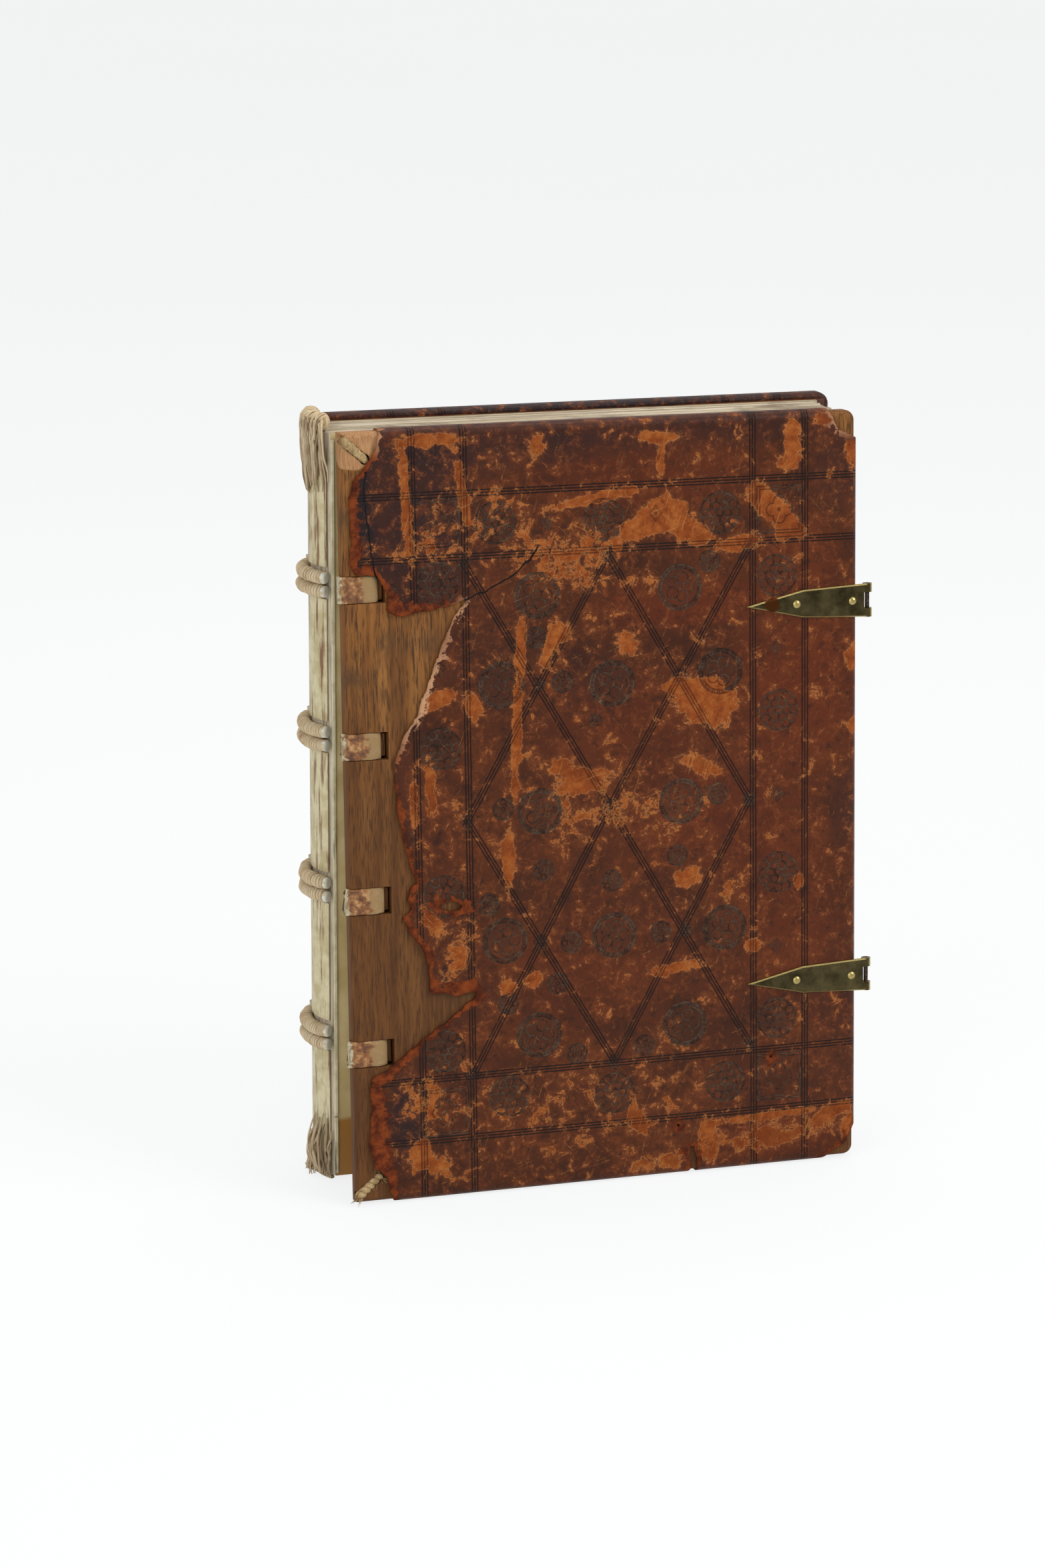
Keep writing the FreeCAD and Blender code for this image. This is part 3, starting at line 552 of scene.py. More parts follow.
@dataclass(frozen=True)
class StainedFlyleaf:
    """A thin parchment flyleaf, seen edge-on in the joint: olive brown, and darker where damp rose from the tail."""

    name: str = "parchment_flyleaf"
    tide_m: float = 0.028

    def make(self) -> bpy.types.Material:
        """Put the flyleaf's material together.

        Returns:
            The material.
        """
        recipe = Recipe(self.name)
        spot = recipe.add("TexCoord", out="Object")
        cloud = recipe.add("TexNoise", {"Vector": spot, "Scale": per(12.0), "Detail": 5.0})
        height = recipe.add("SeparateXYZ", (spot,), out=2)
        edge = recipe.add("Math MULTIPLY_ADD", (cloud, 0.004, height))
        damp = recipe.step(edge, self.tide_m + 0.003, self.tide_m)
        colour = recipe.add("ValToRGB", (cloud,), stops=((0.35, "#cdb987"), (0.7, "#b39c68")))
        colour = recipe.add("Mix", {0: damp, 6: colour, 7: "#98682a"}, out=2, data_type="RGBA")
        bump = recipe.add("Bump", {"Strength": 0.4, "Distance": 0.4 * MM, "Height": cloud})
        return recipe.finish(Base_Color=colour, Roughness=0.5, Normal=bump)


@dataclass(frozen=True)
class RagLeaves:
    """The cut edges of rag paper leaves: chalky cream and grey stripes, one a leaf, with dust in between."""

    name: str = "rag_paper_edges"
    leaf_mm: float = 0.3

    def make(self) -> bpy.types.Material:
        """Put the leaf edges' material together.

        Returns:
            The material.
        """
        recipe = Recipe(self.name)
        spot = recipe.add("TexCoord", out="Object")
        across = recipe.add("VectorMath MULTIPLY", (spot, (per(60.0), per(self.leaf_mm * 1.6), per(60.0))))
        leaf = recipe.add("TexNoise", {"Vector": across, "Scale": 1.0, "Detail": 4.0, "Roughness": 0.7})
        dust = recipe.add("TexNoise", {"Vector": spot, "Scale": per(18.0), "Detail": 5.0, "Roughness": 0.65})
        colour = recipe.add("ValToRGB", (leaf,), stops=((0.32, "#7c6c58"), (0.5, "#c3b49a"), (0.7, "#e2d8c2")))
        colour = recipe.add("Mix", {0: recipe.step(dust, 0.48, 0.75), 6: colour, 7: "#8c7a66"}, out=2,
                            data_type="RGBA")
        bump = recipe.add("Bump", {"Strength": 0.8, "Distance": 0.15 * MM, "Height": leaf})
        return recipe.finish(Base_Color=colour, Roughness=0.85, Normal=bump)


@dataclass(frozen=True)
class LaidPaper:
    """Hand-made laid paper: faint ribs a millimetre apart, yellowed and foxed."""

    name: str = "laid_paper"

    def make(self) -> bpy.types.Material:
        """Put the paper's material together.

        Returns:
            The material.
        """
        recipe = Recipe(self.name)
        spot = recipe.add("TexCoord", out="Object")
        laid = recipe.add("TexWave", {"Vector": spot, "Scale": per(1.0) / 20.0, "Distortion": 0.3},
                          bands_direction="Z")
        foxing = recipe.add("TexNoise", {"Vector": spot, "Scale": per(6.0), "Detail": 6.0, "Roughness": 0.7})
        age = recipe.add("TexNoise", {"Vector": spot, "Scale": per(70.0), "Detail": 4.0})
        colour = recipe.add("ValToRGB", (age,), stops=((0.35, "#d8caa6"), (0.7, "#c2ad82")))
        colour = recipe.add("Mix", {0: recipe.step(foxing, 0.66, 0.74), 6: colour, 7: "#a07a48"}, out=2,
                            data_type="RGBA")
        bump = recipe.add("Bump", {"Strength": 0.25, "Distance": 0.08 * MM, "Height": laid})
        return recipe.finish(Base_Color=colour, Roughness=0.85, Normal=bump)


@dataclass(frozen=True)
class CastBrass:
    """Cast brass, filed flat and bevelled: brown-olive patina with the metal bright on its worn edges."""

    name: str = "patinated_brass"
    patina_dark: str = "#322c1c"
    patina_light: str = "#5c5236"
    bright: str = "#b3a066"
    worn: float = 0.0
    corroded: tuple[float, float, float] = (0.0735, -0.0187, 0.2362)

    def make(self) -> bpy.types.Material:
        """Put the brass's material together.

        Returns:
            The material.
        """
        recipe = Recipe(self.name)
        spot = recipe.add("TexCoord", out="Object")
        cloud = recipe.add("TexNoise", {"Vector": spot, "Scale": per(7.0), "Detail": 5.0, "Roughness": 0.6})
        filed = recipe.add("VectorMath MULTIPLY", (spot, (per(14.0), per(14.0), per(0.25))))
        marks = recipe.add("TexNoise", {"Vector": filed, "Scale": 1.0, "Detail": 3.0})
        colour = recipe.add("ValToRGB", (cloud,), stops=((0.35, self.patina_dark), (0.7, self.patina_light)))
        normal = recipe.add("NewGeometry", out="True Normal")
        facing = recipe.add("SeparateXYZ", (normal,), out=1)
        flat = recipe.add("Math MULTIPLY", (facing, -1.0))
        bevel = recipe.step(flat, 0.97, 0.85)
        rubbed = recipe.add("Math MULTIPLY_ADD", (bevel, 0.75, self.worn), use_clamp=True)
        colour = recipe.add("Mix", {0: rubbed, 6: colour, 7: self.bright}, out=2, data_type="RGBA")
        away = recipe.add("VectorMath DISTANCE", (spot, self.corroded), out="Value")
        ragged = recipe.add("Math MULTIPLY_ADD", (cloud, 0.006, away))
        colour = recipe.add("Mix", {0: recipe.step(ragged, 0.0062, 0.0054), 6: colour, 7: "#4a2a12"}, out=2,
                            data_type="RGBA")
        bump = recipe.add("Bump", {"Strength": 0.3, "Distance": 0.05 * MM, "Height": marks})
        roughness = recipe.add("MapRange", (marks, 0.3, 0.7, 0.28, 0.45))
        return recipe.finish(Base_Color=colour, Metallic=1.0, Roughness=roughness, Normal=bump)


@dataclass(frozen=True)
class WroughtIron:
    """A drawn iron bar, dark brown with dry rust that breaks up its dull shine."""

    name: str = "rusted_iron"

    def make(self) -> bpy.types.Material:
        """Put the iron's material together.

        Returns:
            The material.
        """
        recipe = Recipe(self.name)
        spot = recipe.add("TexCoord", out="Object")
        rust = recipe.add("TexNoise", {"Vector": spot, "Scale": per(1.5), "Detail": 6.0, "Roughness": 0.7})
        colour = recipe.add("ValToRGB", (rust,), stops=((0.4, "#2f2a26"), (0.65, "#4b3524")))
        metal = recipe.step(rust, 0.6, 0.45)
        bump = recipe.add("Bump", {"Strength": 0.5, "Distance": 0.1 * MM, "Height": rust})
        return recipe.finish(Base_Color=colour, Metallic=metal, Roughness=0.55, Normal=bump)


# ---- meshes worked out as arrays


def wave_noise(x: np.ndarray, y: np.ndarray, size_mm: float, seed: int, octaves: int = 4) -> np.ndarray:
    """A smooth random field, as a sum of plane waves in random directions with shorter, weaker ones added.

    Each wave is a sine of a seeded direction and phase; an octave halves the wavelength and the amplitude.

    Args:
        x: First coordinates in mm.
        y: Second coordinates in mm.
        size_mm: The longest wavelength.
        seed: Which field.
        octaves: How many halvings.

    Returns:
        The field, mostly between -1 and 1.
    """
    random = np.random.default_rng(seed)
    total = np.zeros(np.broadcast(x, y).shape)
    for octave in range(octaves):
        for _ in range(4):
            turn, phase = random.uniform(0.0, 2.0 * math.pi, 2)
            pitch = 2.0 * math.pi / (size_mm * random.uniform(0.7, 1.4) / 2.0 ** octave)
            total += 0.5 ** octave * np.sin(pitch * (x * math.cos(turn) + y * math.sin(turn)) + phase)
    return total / 4.0


@dataclass
class Shell:
    """A piece of surface: vertices in metres, four-sided faces, and end faces of any number of sides."""

    vertices: np.ndarray
    quads: np.ndarray
    ends: list[np.ndarray]
    fields: dict[str, np.ndarray]

    @staticmethod
    def grid(points: np.ndarray, round_rows: bool = False, round_columns: bool = False, capped: bool = False,
             **fields: np.ndarray) -> "Shell":
        """Make a shell from a grid of points, where neighbours in the array are neighbours on the surface.

        Args:
            points: The grid, rows by columns by 3, in metres.
            round_rows: Whether the last row joins the first.
            round_columns: Whether the last column joins the first.
            capped: Whether the first and last rows are closed by a face.
            fields: A value for each vertex, by attribute name.

        Returns:
            The shell.
        """
        rows, columns = points.shape[:2]
        index = np.arange(rows * columns).reshape(rows, columns)
        if round_rows:
            index = np.vstack([index, index[:1]])
        if round_columns:
            index = np.hstack([index, index[:, :1]])
        quads = np.stack([index[:-1, :-1], index[1:, :-1], index[1:, 1:], index[:-1, 1:]], axis=-1)
        ends = [np.arange(columns), np.arange(rows * columns - 1, (rows - 1) * columns - 1, -1)] if capped else []
        flat = {name: np.broadcast_to(values, points.shape[:2]).ravel() for name, values in fields.items()}
        return Shell(points.reshape(-1, 3), quads.reshape(-1, 4), ends, flat)

    def outward(self) -> "Shell":
        """Turn a closed shell's faces outward, by the sign of the volume that its faces span.

        Returns:
            The shell itself.
        """
        a, b, c, d = (self.vertices[self.quads[:, corner]] for corner in range(4))
        middle = self.vertices.mean(axis=0)
        volume = np.einsum("ij,ij->i", a - middle, np.cross(b - middle, c - middle)).sum()
        volume += np.einsum("ij,ij->i", a - middle, np.cross(c - middle, d - middle)).sum()
        if volume < 0.0:
            self.quads = self.quads[:, ::-1]
            self.ends = [end[::-1] for end in self.ends]
        return self

    @staticmethod
    def joined(shells: Sequence["Shell"]) -> "Shell":
        """Put several shells in one, as separate closed surfaces of one piece.

        Args:
            shells: The shells, all with the same fields.

        Returns:
            One shell with all of their faces.
        """
        starts = np.cumsum([0] + [len(shell.vertices) for shell in shells[:-1]])
        names = shells[0].fields
        return Shell(
            np.vstack([shell.vertices for shell in shells]),
            np.vstack([shell.quads + start for shell, start in zip(shells, starts)]),
            [end + start for shell, start in zip(shells, starts) for end in shell.ends],
            {name: np.concatenate([shell.fields[name] for shell in shells]) for name in names})

    def piece(self, name: str, material: bpy.types.Material, body: str, smooth: bool = True) -> bpy.types.Object:
        """Make the shell an object that rides on a body.

        Args:
            name: The piece's name.
            material: Its finish.
            body: The body that it rides on.
            smooth: Whether its faces are shaded smooth.

        Returns:
            The object.
        """
        mesh = bpy.data.meshes.new(name)
        mesh.from_pydata(self.vertices.tolist(), [], self.quads.tolist() + [end.tolist() for end in self.ends])
        for field, values in self.fields.items():
            layer = mesh.attributes.new(field, "FLOAT", "POINT")
            layer.data.foreach_set("value", np.ascontiguousarray(values, dtype=np.float32))
        mesh.polygons.foreach_set("use_smooth", np.full(len(mesh.polygons), smooth))
        mesh.materials.append(material)
        mesh.update()
        made = bpy.data.objects.new(name, mesh)
        bpy.context.collection.objects.link(made)
        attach(made, body)
        LOG.info("%s: %d faces", name, len(mesh.polygons))
        return made


def tube(path: np.ndarray, radius: np.ndarray, sides: int = 12, squash: float = 1.0, **fields: np.ndarray) -> Shell:
    """Carry a circle along a path.

    The circle's plane is spanned by two unit vectors square to the path's direction, the first of them as near
    as it can be to the axis that the path runs least along. Its radius may differ from place to place.

    Args:
        path: The path's points in mm.
        radius: The radius in mm, one for each point, or points by sides.
        sides: How many points go round.
        squash: The second vector's share of the radius.
        fields: A value for each point of the path, or for each vertex.

    Returns:
        The closed tube in metres.
    """
    along = np.gradient(path, axis=0)
    along /= np.linalg.norm(along, axis=1, keepdims=True)
    axis = np.eye(3)[np.argmin(np.abs(along).mean(axis=0))]
    first = axis - along * (along @ axis)[:, None]
    first /= np.linalg.norm(first, axis=1, keepdims=True)
    second = np.cross(along, first)
    turn = np.linspace(0.0, 2.0 * math.pi, sides, endpoint=False)
    reach = np.broadcast_to(radius if np.ndim(radius) == 2 else np.reshape(radius, (-1, 1)), (len(path), sides))
    points = path[:, None] + reach[..., None] * (
        np.cos(turn)[None, :, None] * first[:, None] + squash * np.sin(turn)[None, :, None] * second[:, None])
    spread = {name: (np.reshape(values, (-1, 1)) if np.ndim(values) == 1 else values)
              for name, values in fields.items()}
    return Shell.grid(points * MM, round_columns=True, capped=True, **spread).outward()


def thread_crown(phase: np.ndarray) -> np.ndarray:
    """The swelling over each turn of thread: the height of a half circle across every whole step of the phase."""
    within = np.abs(phase - np.floor(phase) - 0.5) * 2.0
    return np.sqrt(np.clip(1.0 - within ** 2, 0.0, 1.0))


def smooth_path(points: np.ndarray, count: int) -> np.ndarray:
    """Run a smooth curve through a few points.

    Between two points the curve is a cubic whose slopes at both ends are half the step between the points on
    either side (Catmull-Rom).

    Args:
        points: The few points.
        count: How many points to give back.

    Returns:
        Points along the curve.
    """
    points = np.asarray(points, dtype=float)
    padded = np.vstack([2.0 * points[0] - points[1], points, 2.0 * points[-1] - points[-2]])
    place = np.linspace(0.0, len(points) - 1.0 - 1e-9, count)
    cell = place.astype(int)
    t = (place - cell)[:, None]
    before, start, end, after = (padded[cell + step] for step in range(4))
    return 0.5 * (2.0 * start + (end - before) * t + (2.0 * before - 5.0 * start + 4.0 * end - after) * t ** 2
                  + (3.0 * start - before - 3.0 * end + after) * t ** 3)


def side_of_outline(x: np.ndarray, y: np.ndarray, outline: Points) -> np.ndarray:
    """The distance to a closed outline, positive inside it and negative outside.

    The distance is the smallest over the outline's edges; a place is inside if a ray from it crosses the outline
    an odd number of times.

    Args:
        x: First coordinates.
        y: Second coordinates.
        outline: The outline's corners.

    Returns:
        The signed distance.
    """
    start = np.asarray(outline, dtype=float)
    end = np.roll(start, -1, axis=0)
    spot = np.stack([np.ravel(x), np.ravel(y)], axis=-1)[:, None]
    run = end - start
    share = ((spot - start) * run).sum(-1) / (run ** 2).sum(-1)
    foot = start + np.clip(share, 0.0, 1.0)[..., None] * run
    distance = np.linalg.norm(spot - foot, axis=-1).min(axis=1)
    sx, sy = spot[..., 0], spot[..., 1]
    straddles = (start[:, 1] > sy) != (end[:, 1] > sy)
    slope = np.where(run[:, 1] == 0.0, 1e-12, run[:, 1])
    crossing = sx < run[:, 0] * (sy - start[:, 1]) / slope + start[:, 0]
    inside = (straddles & crossing).sum(axis=1) % 2 == 1
    return np.where(inside, distance, -distance).reshape(np.shape(x))


def nearest_line(middles: np.ndarray, corners: np.ndarray, starts: np.ndarray, ends: np.ndarray) -> np.ndarray:
    """Signed distances from each face's corners to the line that is nearest to the face's middle.

    Taking one line for a whole face keeps the distance straight across it, so a shader draws an even line.

    Args:
        middles: Each face's middle.
        corners: Each face's corners, faces by 4 by 2.
        starts: The segments' first ends.
        ends: The segments' last ends.

    Returns:
        Distances, faces by 4; 99 where no segment lies alongside.
    """
    run = ends - starts
    length = np.linalg.norm(run, axis=1)
    unit = run / length[:, None]
    square = np.stack([-unit[:, 1], unit[:, 0]], axis=-1)
    offset = middles[:, None] - starts
    along = (offset * unit).sum(-1)
    across = np.abs((offset * square).sum(-1))
    across = np.where((along > -0.8) & (along < length + 0.8), across, 99.0)
    pick = across.argmin(axis=1)
    distance = ((corners - starts[pick][:, None]) * square[pick][:, None]).sum(-1)
    return np.where(across.min(axis=1)[:, None] < 20.0, distance, 99.0)


def blobs(u: np.ndarray, v: np.ndarray, spots: Blobs) -> np.ndarray:
    """A field of soft oval spots: each adds its weight times a bell curve of the distance in its own axes.

    Args:
        u: Places from the spine edge in mm.
        v: Heights in mm.
        spots: (u, v, half length, half height, turn in degrees, weight) of each.

    Returns:
        The sum of the spots.
    """
    total = np.zeros(np.shape(u))
    for middle_u, middle_v, long, high, turn, weight in spots:
        cosine, sine = math.cos(math.radians(turn)), math.sin(math.radians(turn))
        along = ((u - middle_u) * cosine + (v - middle_v) * sine) / long
        across = ((v - middle_v) * cosine - (u - middle_u) * sine) / high
        total += weight * np.exp(-(along ** 2 + across ** 2) ** 1.5)
    return total


# ---- the covers


@dataclass(frozen=True)
class Cover:
    """One cover's own frame: u from the spine edge, n inwards from the outer face, v up from the tail, in mm."""

    width: float = 216.0
    height: float = 315.0
    thickness: float = 9.4
    corner: float = 4.9
    outer_round: float = 3.3
    inner_round: float = 2.1
    body: str = "book"
    lean_deg: float = 4.0
    shift: tuple[float, float, float] = (-105.0782, -34.141, 0.5144)

    @property
    def faces_front(self) -> bool:
        """Whether its outer face looks to the front."""
        return self.lean_deg > 0.0

    def place(self, u: np.ndarray, n: np.ndarray, v: np.ndarray) -> np.ndarray:
        """Turn cover coordinates into the shared frame.

        The front cover is turned about X by its lean; the back cover is the mirror image of an upright one.

        Args:
            u: From the spine edge in mm.
            n: Inwards from the outer face in mm.
            v: Up from the tail in mm.

        Returns:
            Points in mm.
        """
        if not self.faces_front:
            return np.stack(np.broadcast_arrays(u + self.shift[0], self.shift[1] - n, v), axis=-1)
        cosine, sine = math.cos(math.radians(self.lean_deg)), math.sin(math.radians(self.lean_deg))
        return np.stack(np.broadcast_arrays(
            u + self.shift[0], n * cosine + v * sine + self.shift[1], v * cosine - n * sine + self.shift[2]), axis=-1)

    def fold(self, a: np.ndarray, b: np.ndarray) -> tuple[np.ndarray, np.ndarray, np.ndarray, np.ndarray]:
        """Draw a flat sheet over the cover's face and round its head, tail and fore-edge.

        The sheet's flat coordinates beyond a core rectangle are a distance past it, which runs along the edge's
        profile: flat, a quarter circle, the straight edge, a smaller quarter circle, and on under the turn-in.

        Args:
            a: Across the sheet in mm.
            b: Up the sheet in mm.

        Returns:
            u, n, v and the distance past the core.
        """
        core_a = np.minimum(a, self.width - self.corner)
        core_b = np.clip(b, self.corner, self.height - self.corner)
        past = np.hypot(a - core_a, b - core_b)
        safe = np.maximum(past, 1e-9)
        quarter = np.linspace(0.0, math.pi / 2.0, 9)
        flat = self.corner - self.outer_round
        out = np.concatenate([[0.0], flat + self.outer_round * np.sin(quarter),
                              self.corner - self.inner_round * (1.0 - np.cos(quarter)), [flat]])
        down = np.concatenate([[0.0], self.outer_round * (1.0 - np.cos(quarter)),
                               self.thickness - self.inner_round + self.inner_round * np.sin(quarter),
                               [self.thickness - 0.25]])
        run = np.concatenate([[0.0], np.cumsum(np.hypot(np.diff(out), np.diff(down)))])
        reach = np.interp(past, run, out)
        depth = np.interp(past, run, down)
        return core_a + (a - core_a) / safe * reach, depth, core_b + (b - core_b) / safe * reach, past

    @property
    def sheet_reach(self) -> float:
        """How far the sheet goes past the core before it ends under the turn-in.

        Returns:
            The distance in mm.
        """
        flat = self.corner - self.outer_round
        edge = self.thickness - self.outer_round - self.inner_round
        return flat + math.pi / 2.0 * (self.outer_round + self.inner_round) + edge + 1.0


@dataclass(frozen=True)
class Wear:
    """Where a cover's skin has flaked, blackened or reddened, as lists of soft spots."""

    base: float
    flaked: Blobs
    dark: Blobs
    red: Blobs


FRONT_WEAR = Wear(
    base=0.18,
    flaked=(
        (133, 276, 10, 6, 5, 0.50), (145, 268, 9, 5, -25, 0.45), (124, 271, 10, 4, 15, 0.42),
        (106, 284, 21, 2.0, 9, 0.42), (166, 263, 9, 3, 12, 0.45), (178, 277, 11, 5, -40, 0.55),
        (186, 268, 5, 5, 0, 0.45), (150, 199, 12, 9, -25, 0.58), (137, 206, 4, 3, 0, 0.5),
        (116, 225, 6, 4, -45, 0.35), (26, 284, 2.0, 22, 3, 0.42), (49, 290, 1.8, 14, 8, 0.40),
        (72.5, 226, 2.0, 12, -3, 0.45), (70, 190, 1.8, 27, -3, 0.45), (37, 206, 8, 3, 18, 0.55),
        (52, 202, 3, 7, 20, 0.35), (34, 172, 2, 13, 4, 0.35), (27, 166, 1.6, 13, 0, 0.40),
        (98, 170, 12, 5, 5, 0.36), (88, 176, 5, 4, 0, 0.30), (148, 172, 9, 4, -20, 0.30),
        (131, 307, 9, 2.0, -4, 0.42), (132, 299, 1.4, 8, -4, 0.42), (188, 303, 4, 9, 0, 0.40),
        (186, 294, 4, 3, 0, 0.35), (205, 312, 8, 2.5, 8, 0.45), (213, 303, 2.5, 14, 4, 0.40),
        (214, 213, 3, 5, 0, 0.45), (214, 184, 2, 4, 0, 0.40), (66, 138, 2.4, 14, 0, 0.40),
        (75, 88, 5, 3, 20, 0.32), (65, 86, 4, 3, -10, 0.35), (135, 88, 11, 2.4, 4, 0.34),
        (170, 95, 3.4, 3, 0, 0.40), (190.6, 121, 2, 4, 0, 0.45), (142, 126, 6, 4, 0, 0.35),
        (90, 230, 5, 5, 30, 0.22), (84, 224, 3, 8, -25, 0.32), (60, 280, 16, 14, 0, 0.10),
        (95, 266, 26, 8, 0, 0.16), (110, 158, 40, 14, 0, 0.10), (95, 32, 55, 20, 0, 0.08),
        (90, 255, 22, 10, 0, 0.14), (40, 268, 10, 10, 0, 0.16), (178, 13, 24, 5, 4, 0.26),
        (150, 13, 4, 8, 0, 0.5), (176, 21.5, 26, 1.4, 2, 0.35), (204, 20, 8, 2.5, 25, 0.5),
        (212, 10, 2.5, 10, 0, 0.45), (32, 13, 12, 5, -20, 0.20), (30, 42, 9, 12, 20, 0.16),
        (27, 20, 4, 5, 0, 0.38), (130, 6, 14, 4, 0, 0.22), (44, 100, 6, 14, -30, 0.20),
        (34, 116, 4, 8, 30, 0.30), (120, 26, 3, 8, 25, 0.30), (160, 120, 6, 3, 50, 0.22),
        (35, 310, 14, 2.5, 2, 0.35), (80, 306, 3, 4, 0, 0.35), (120, 250, 12, 5, 0, 0.10)),
    dark=(
        (30, 275, 26, 34, 0, 0.75), (8, 280, 5, 26, 0, 0.9), (22, 36, 8, 16, 0, 0.85),
        (60, 306, 60, 9, 0, 0.55), (150, 309, 70, 6, 0, 0.35), (212, 150, 8, 18, 0, 0.45),
        (207, 292, 10, 18, 0, 0.40), (60, 222, 24, 20, 0, 0.20), (105, 210, 14, 12, 0, 0.25),
        (208, 60, 10, 40, 0, 0.15), (22, 165, 8, 25, 0, 0.25)),
    red=(
        (140, 240, 34, 10, 0, 0.75), (190, 205, 28, 40, 0, 0.75), (130, 292, 50, 16, 0, 0.40),
        (185, 110, 26, 40, 0, 0.45), (150, 150, 36, 24, 0, 0.45), (180, 14, 32, 10, 0, 0.8),
        (120, 190, 40, 22, 0, 0.35), (100, 90, 40, 26, 0, 0.30), (40, 240, 12, 8, 0, 0.4),
        (190, 255, 20, 14, 0, 0.35)))

BACK_WEAR = Wear(
    base=0.18,
    flaked=(
        (30, 300, 20, 6, 0, 0.25), (204, 305, 15, 4, -18, 0.34), (206, 9, 13, 4, 15, 0.36), (110, 160, 50, 60, 0, 0.10),
        (214, 160, 2, 60, 0, 0.25), (60, 40, 30, 18, 0, 0.16), (150, 220, 26, 9, 40, 0.22), (24, 120, 6, 30, 0, 0.22)),
    dark=((40, 250, 40, 40, 0, 0.5), (110, 312, 120, 8, 0, 1.0), (110, 8, 90, 9, 0, 0.45), (180, 60, 30, 40, 0, 0.3)),
    red=((150, 200, 50, 40, 0, 0.5), (80, 110, 40, 40, 0, 0.45)))

TORN_EDGE: Points = (
    (15.6, -2.0), (15.6, 0.8), (14.0, 4.6), (13.0, 10.6), (8.0, 15.6), (5.8, 24.0), (7.0, 38.6), (6.4, 46.6),
    (7.0, 52.2), (14.0, 56.0), (20.0, 60.6), (31.0, 68.6), (40.0, 74.6), (50.0, 82.2), (52.4, 84.0),
    (50.0, 85.2), (42.0, 85.0), (32.4, 86.6), (32.4, 97.6), (29.0, 105.6), (24.0, 112.6), (21.6, 119.2),
    (25.6, 121.6), (24.0, 125.5), (25.0, 130.5), (28.0, 132.5), (25.0, 138.5), (23.0, 148.5), (21.0, 158.9),
    (19.4, 171.5), (19.0, 179.0), (21.0, 187.0), (24.0, 193.0), (29.0, 200.0), (33.0, 211.0), (37.0, 221.0),
    (41.0, 231.0), (45.0, 239.0), (50.0, 246.0), (41.0, 243.4), (31.0, 242.0), (21.0, 240.6), (17.0, 243.0),
    (18.0, 250.0), (14.4, 256.0), (13.4, 257.6), (8.0, 258.0), (5.0, 258.0), (3.0, 261.0), (3.6, 275.0),
    (3.0, 288.0), (5.0, 295.0), (8.0, 298.0), (11.6, 303.4), (14.6, 307.0), (15.4, 314.6), (15.4, 317.0))

HEAD_CORNER_WEAR: Points = (
    (202.0, 318.0), (204.0, 312.6), (206.6, 307.4), (213.0, 303.6), (219.0, 301.0), (219.0, 318.0))
TAIL_CORNER_WEAR: Points = (
    (196.0, -3.0), (205.0, 3.4), (211.0, 7.0), (214.4, 13.0), (219.0, 16.0), (219.0, -3.0))
TAIL_NOTCH: Points = (
    (142.0, -3.0), (142.6, 5.0), (142.0, 12.0), (144.4, 12.6), (145.6, 6.0), (146.0, -3.0))

CRACKS: Sequence[Points] = (
    ((9.6, 298.0), (9.2, 288.0), (10.6, 276.0), (11.4, 266.0), (13.6, 256.0), (16.0, 251.0)),
    ((50.0, 246.0), (58.0, 249.0), (64.0, 252.0), (70.0, 255.0), (76.0, 260.0), (80.0, 265.0)))

STAMPS: dict[Stamp, Points] = {
    Stamp.ROSETTE: (
        (181, 248.6), (181.6, 193), (181.4, 125.2), (180.6, 63.2), (38.4, 253), (38.4, 186.4), (38.6, 126),
        (38, 61.6), (62.4, 276), (107.6, 275), (156.6, 275.4), (65, 40.2), (110, 37.6), (158, 38)),
    Stamp.ROUNDEL: (
        (79.4, 246), (139.4, 246), (64, 210.6), (110.4, 208.4), (156.6, 210.6), (79.4, 158), (139.4, 158),
        (64, 105.6), (110.4, 104.2), (158, 103.6), (78, 65), (140.6, 64.2)),
    Stamp.SQUARE: ((38, 277), (182, 275.4), (181.6, 38.2), (38, 36)),
    Stamp.LOZENGE: ((180.6, 219), (181, 158), (180.6, 94.2), (84, 275.6), (129.4, 276.4), (38.4, 219), (38.5, 94)),
    Stamp.WHEEL: (
        (78.4, 229), (89.4, 210.4), (57.4, 121.2), (80.6, 133.6), (109.6, 127), (137.6, 135.6), (92, 102.6),
        (130.4, 104), (94, 55.6), (123, 56.6), (65, 79), (86, 86), (152, 256), (64, 160), (155, 160)),
    Stamp.SEVEN_DOTS: (
        (49, 261), (109, 261), (169, 261), (79.5, 210), (140, 210), (49, 156), (109, 158), (169, 157), (79, 104),
        (141, 104), (50, 51), (110, 51), (169, 53), (19, 251), (103, 194)),
}


LATTICE_FALLING = (((49, 261), (109, 158)), ((109, 158), (169, 53)), ((109, 261), (169, 157)), ((49, 156), (110, 51)))
LATTICE_RISING = (((50, 51), (109, 158)), ((109, 158), (169, 261)), ((49, 156), (109, 261)), ((110, 51), (169, 157)))
PALE_EDGES: Blobs = (
    (33, 208, 6, 24, -24, 1.0), (49, 240, 5, 10, -35, 0.8), (22, 311, 12, 6, 0, 0.8), (210, 311, 9, 7, 0, 0.7))
BARED_EDGES: Blobs = (
    (14, 32, 11, 26, 0, 1.0), (46, 90, 9, 9, 0, 0.7), (24, 246, 12, 4, 0, 0.6), (6, 276, 4, 18, 0, 0.4))
NOWHERE = ((-90.0, -90.0), (-90.0, -80.0))


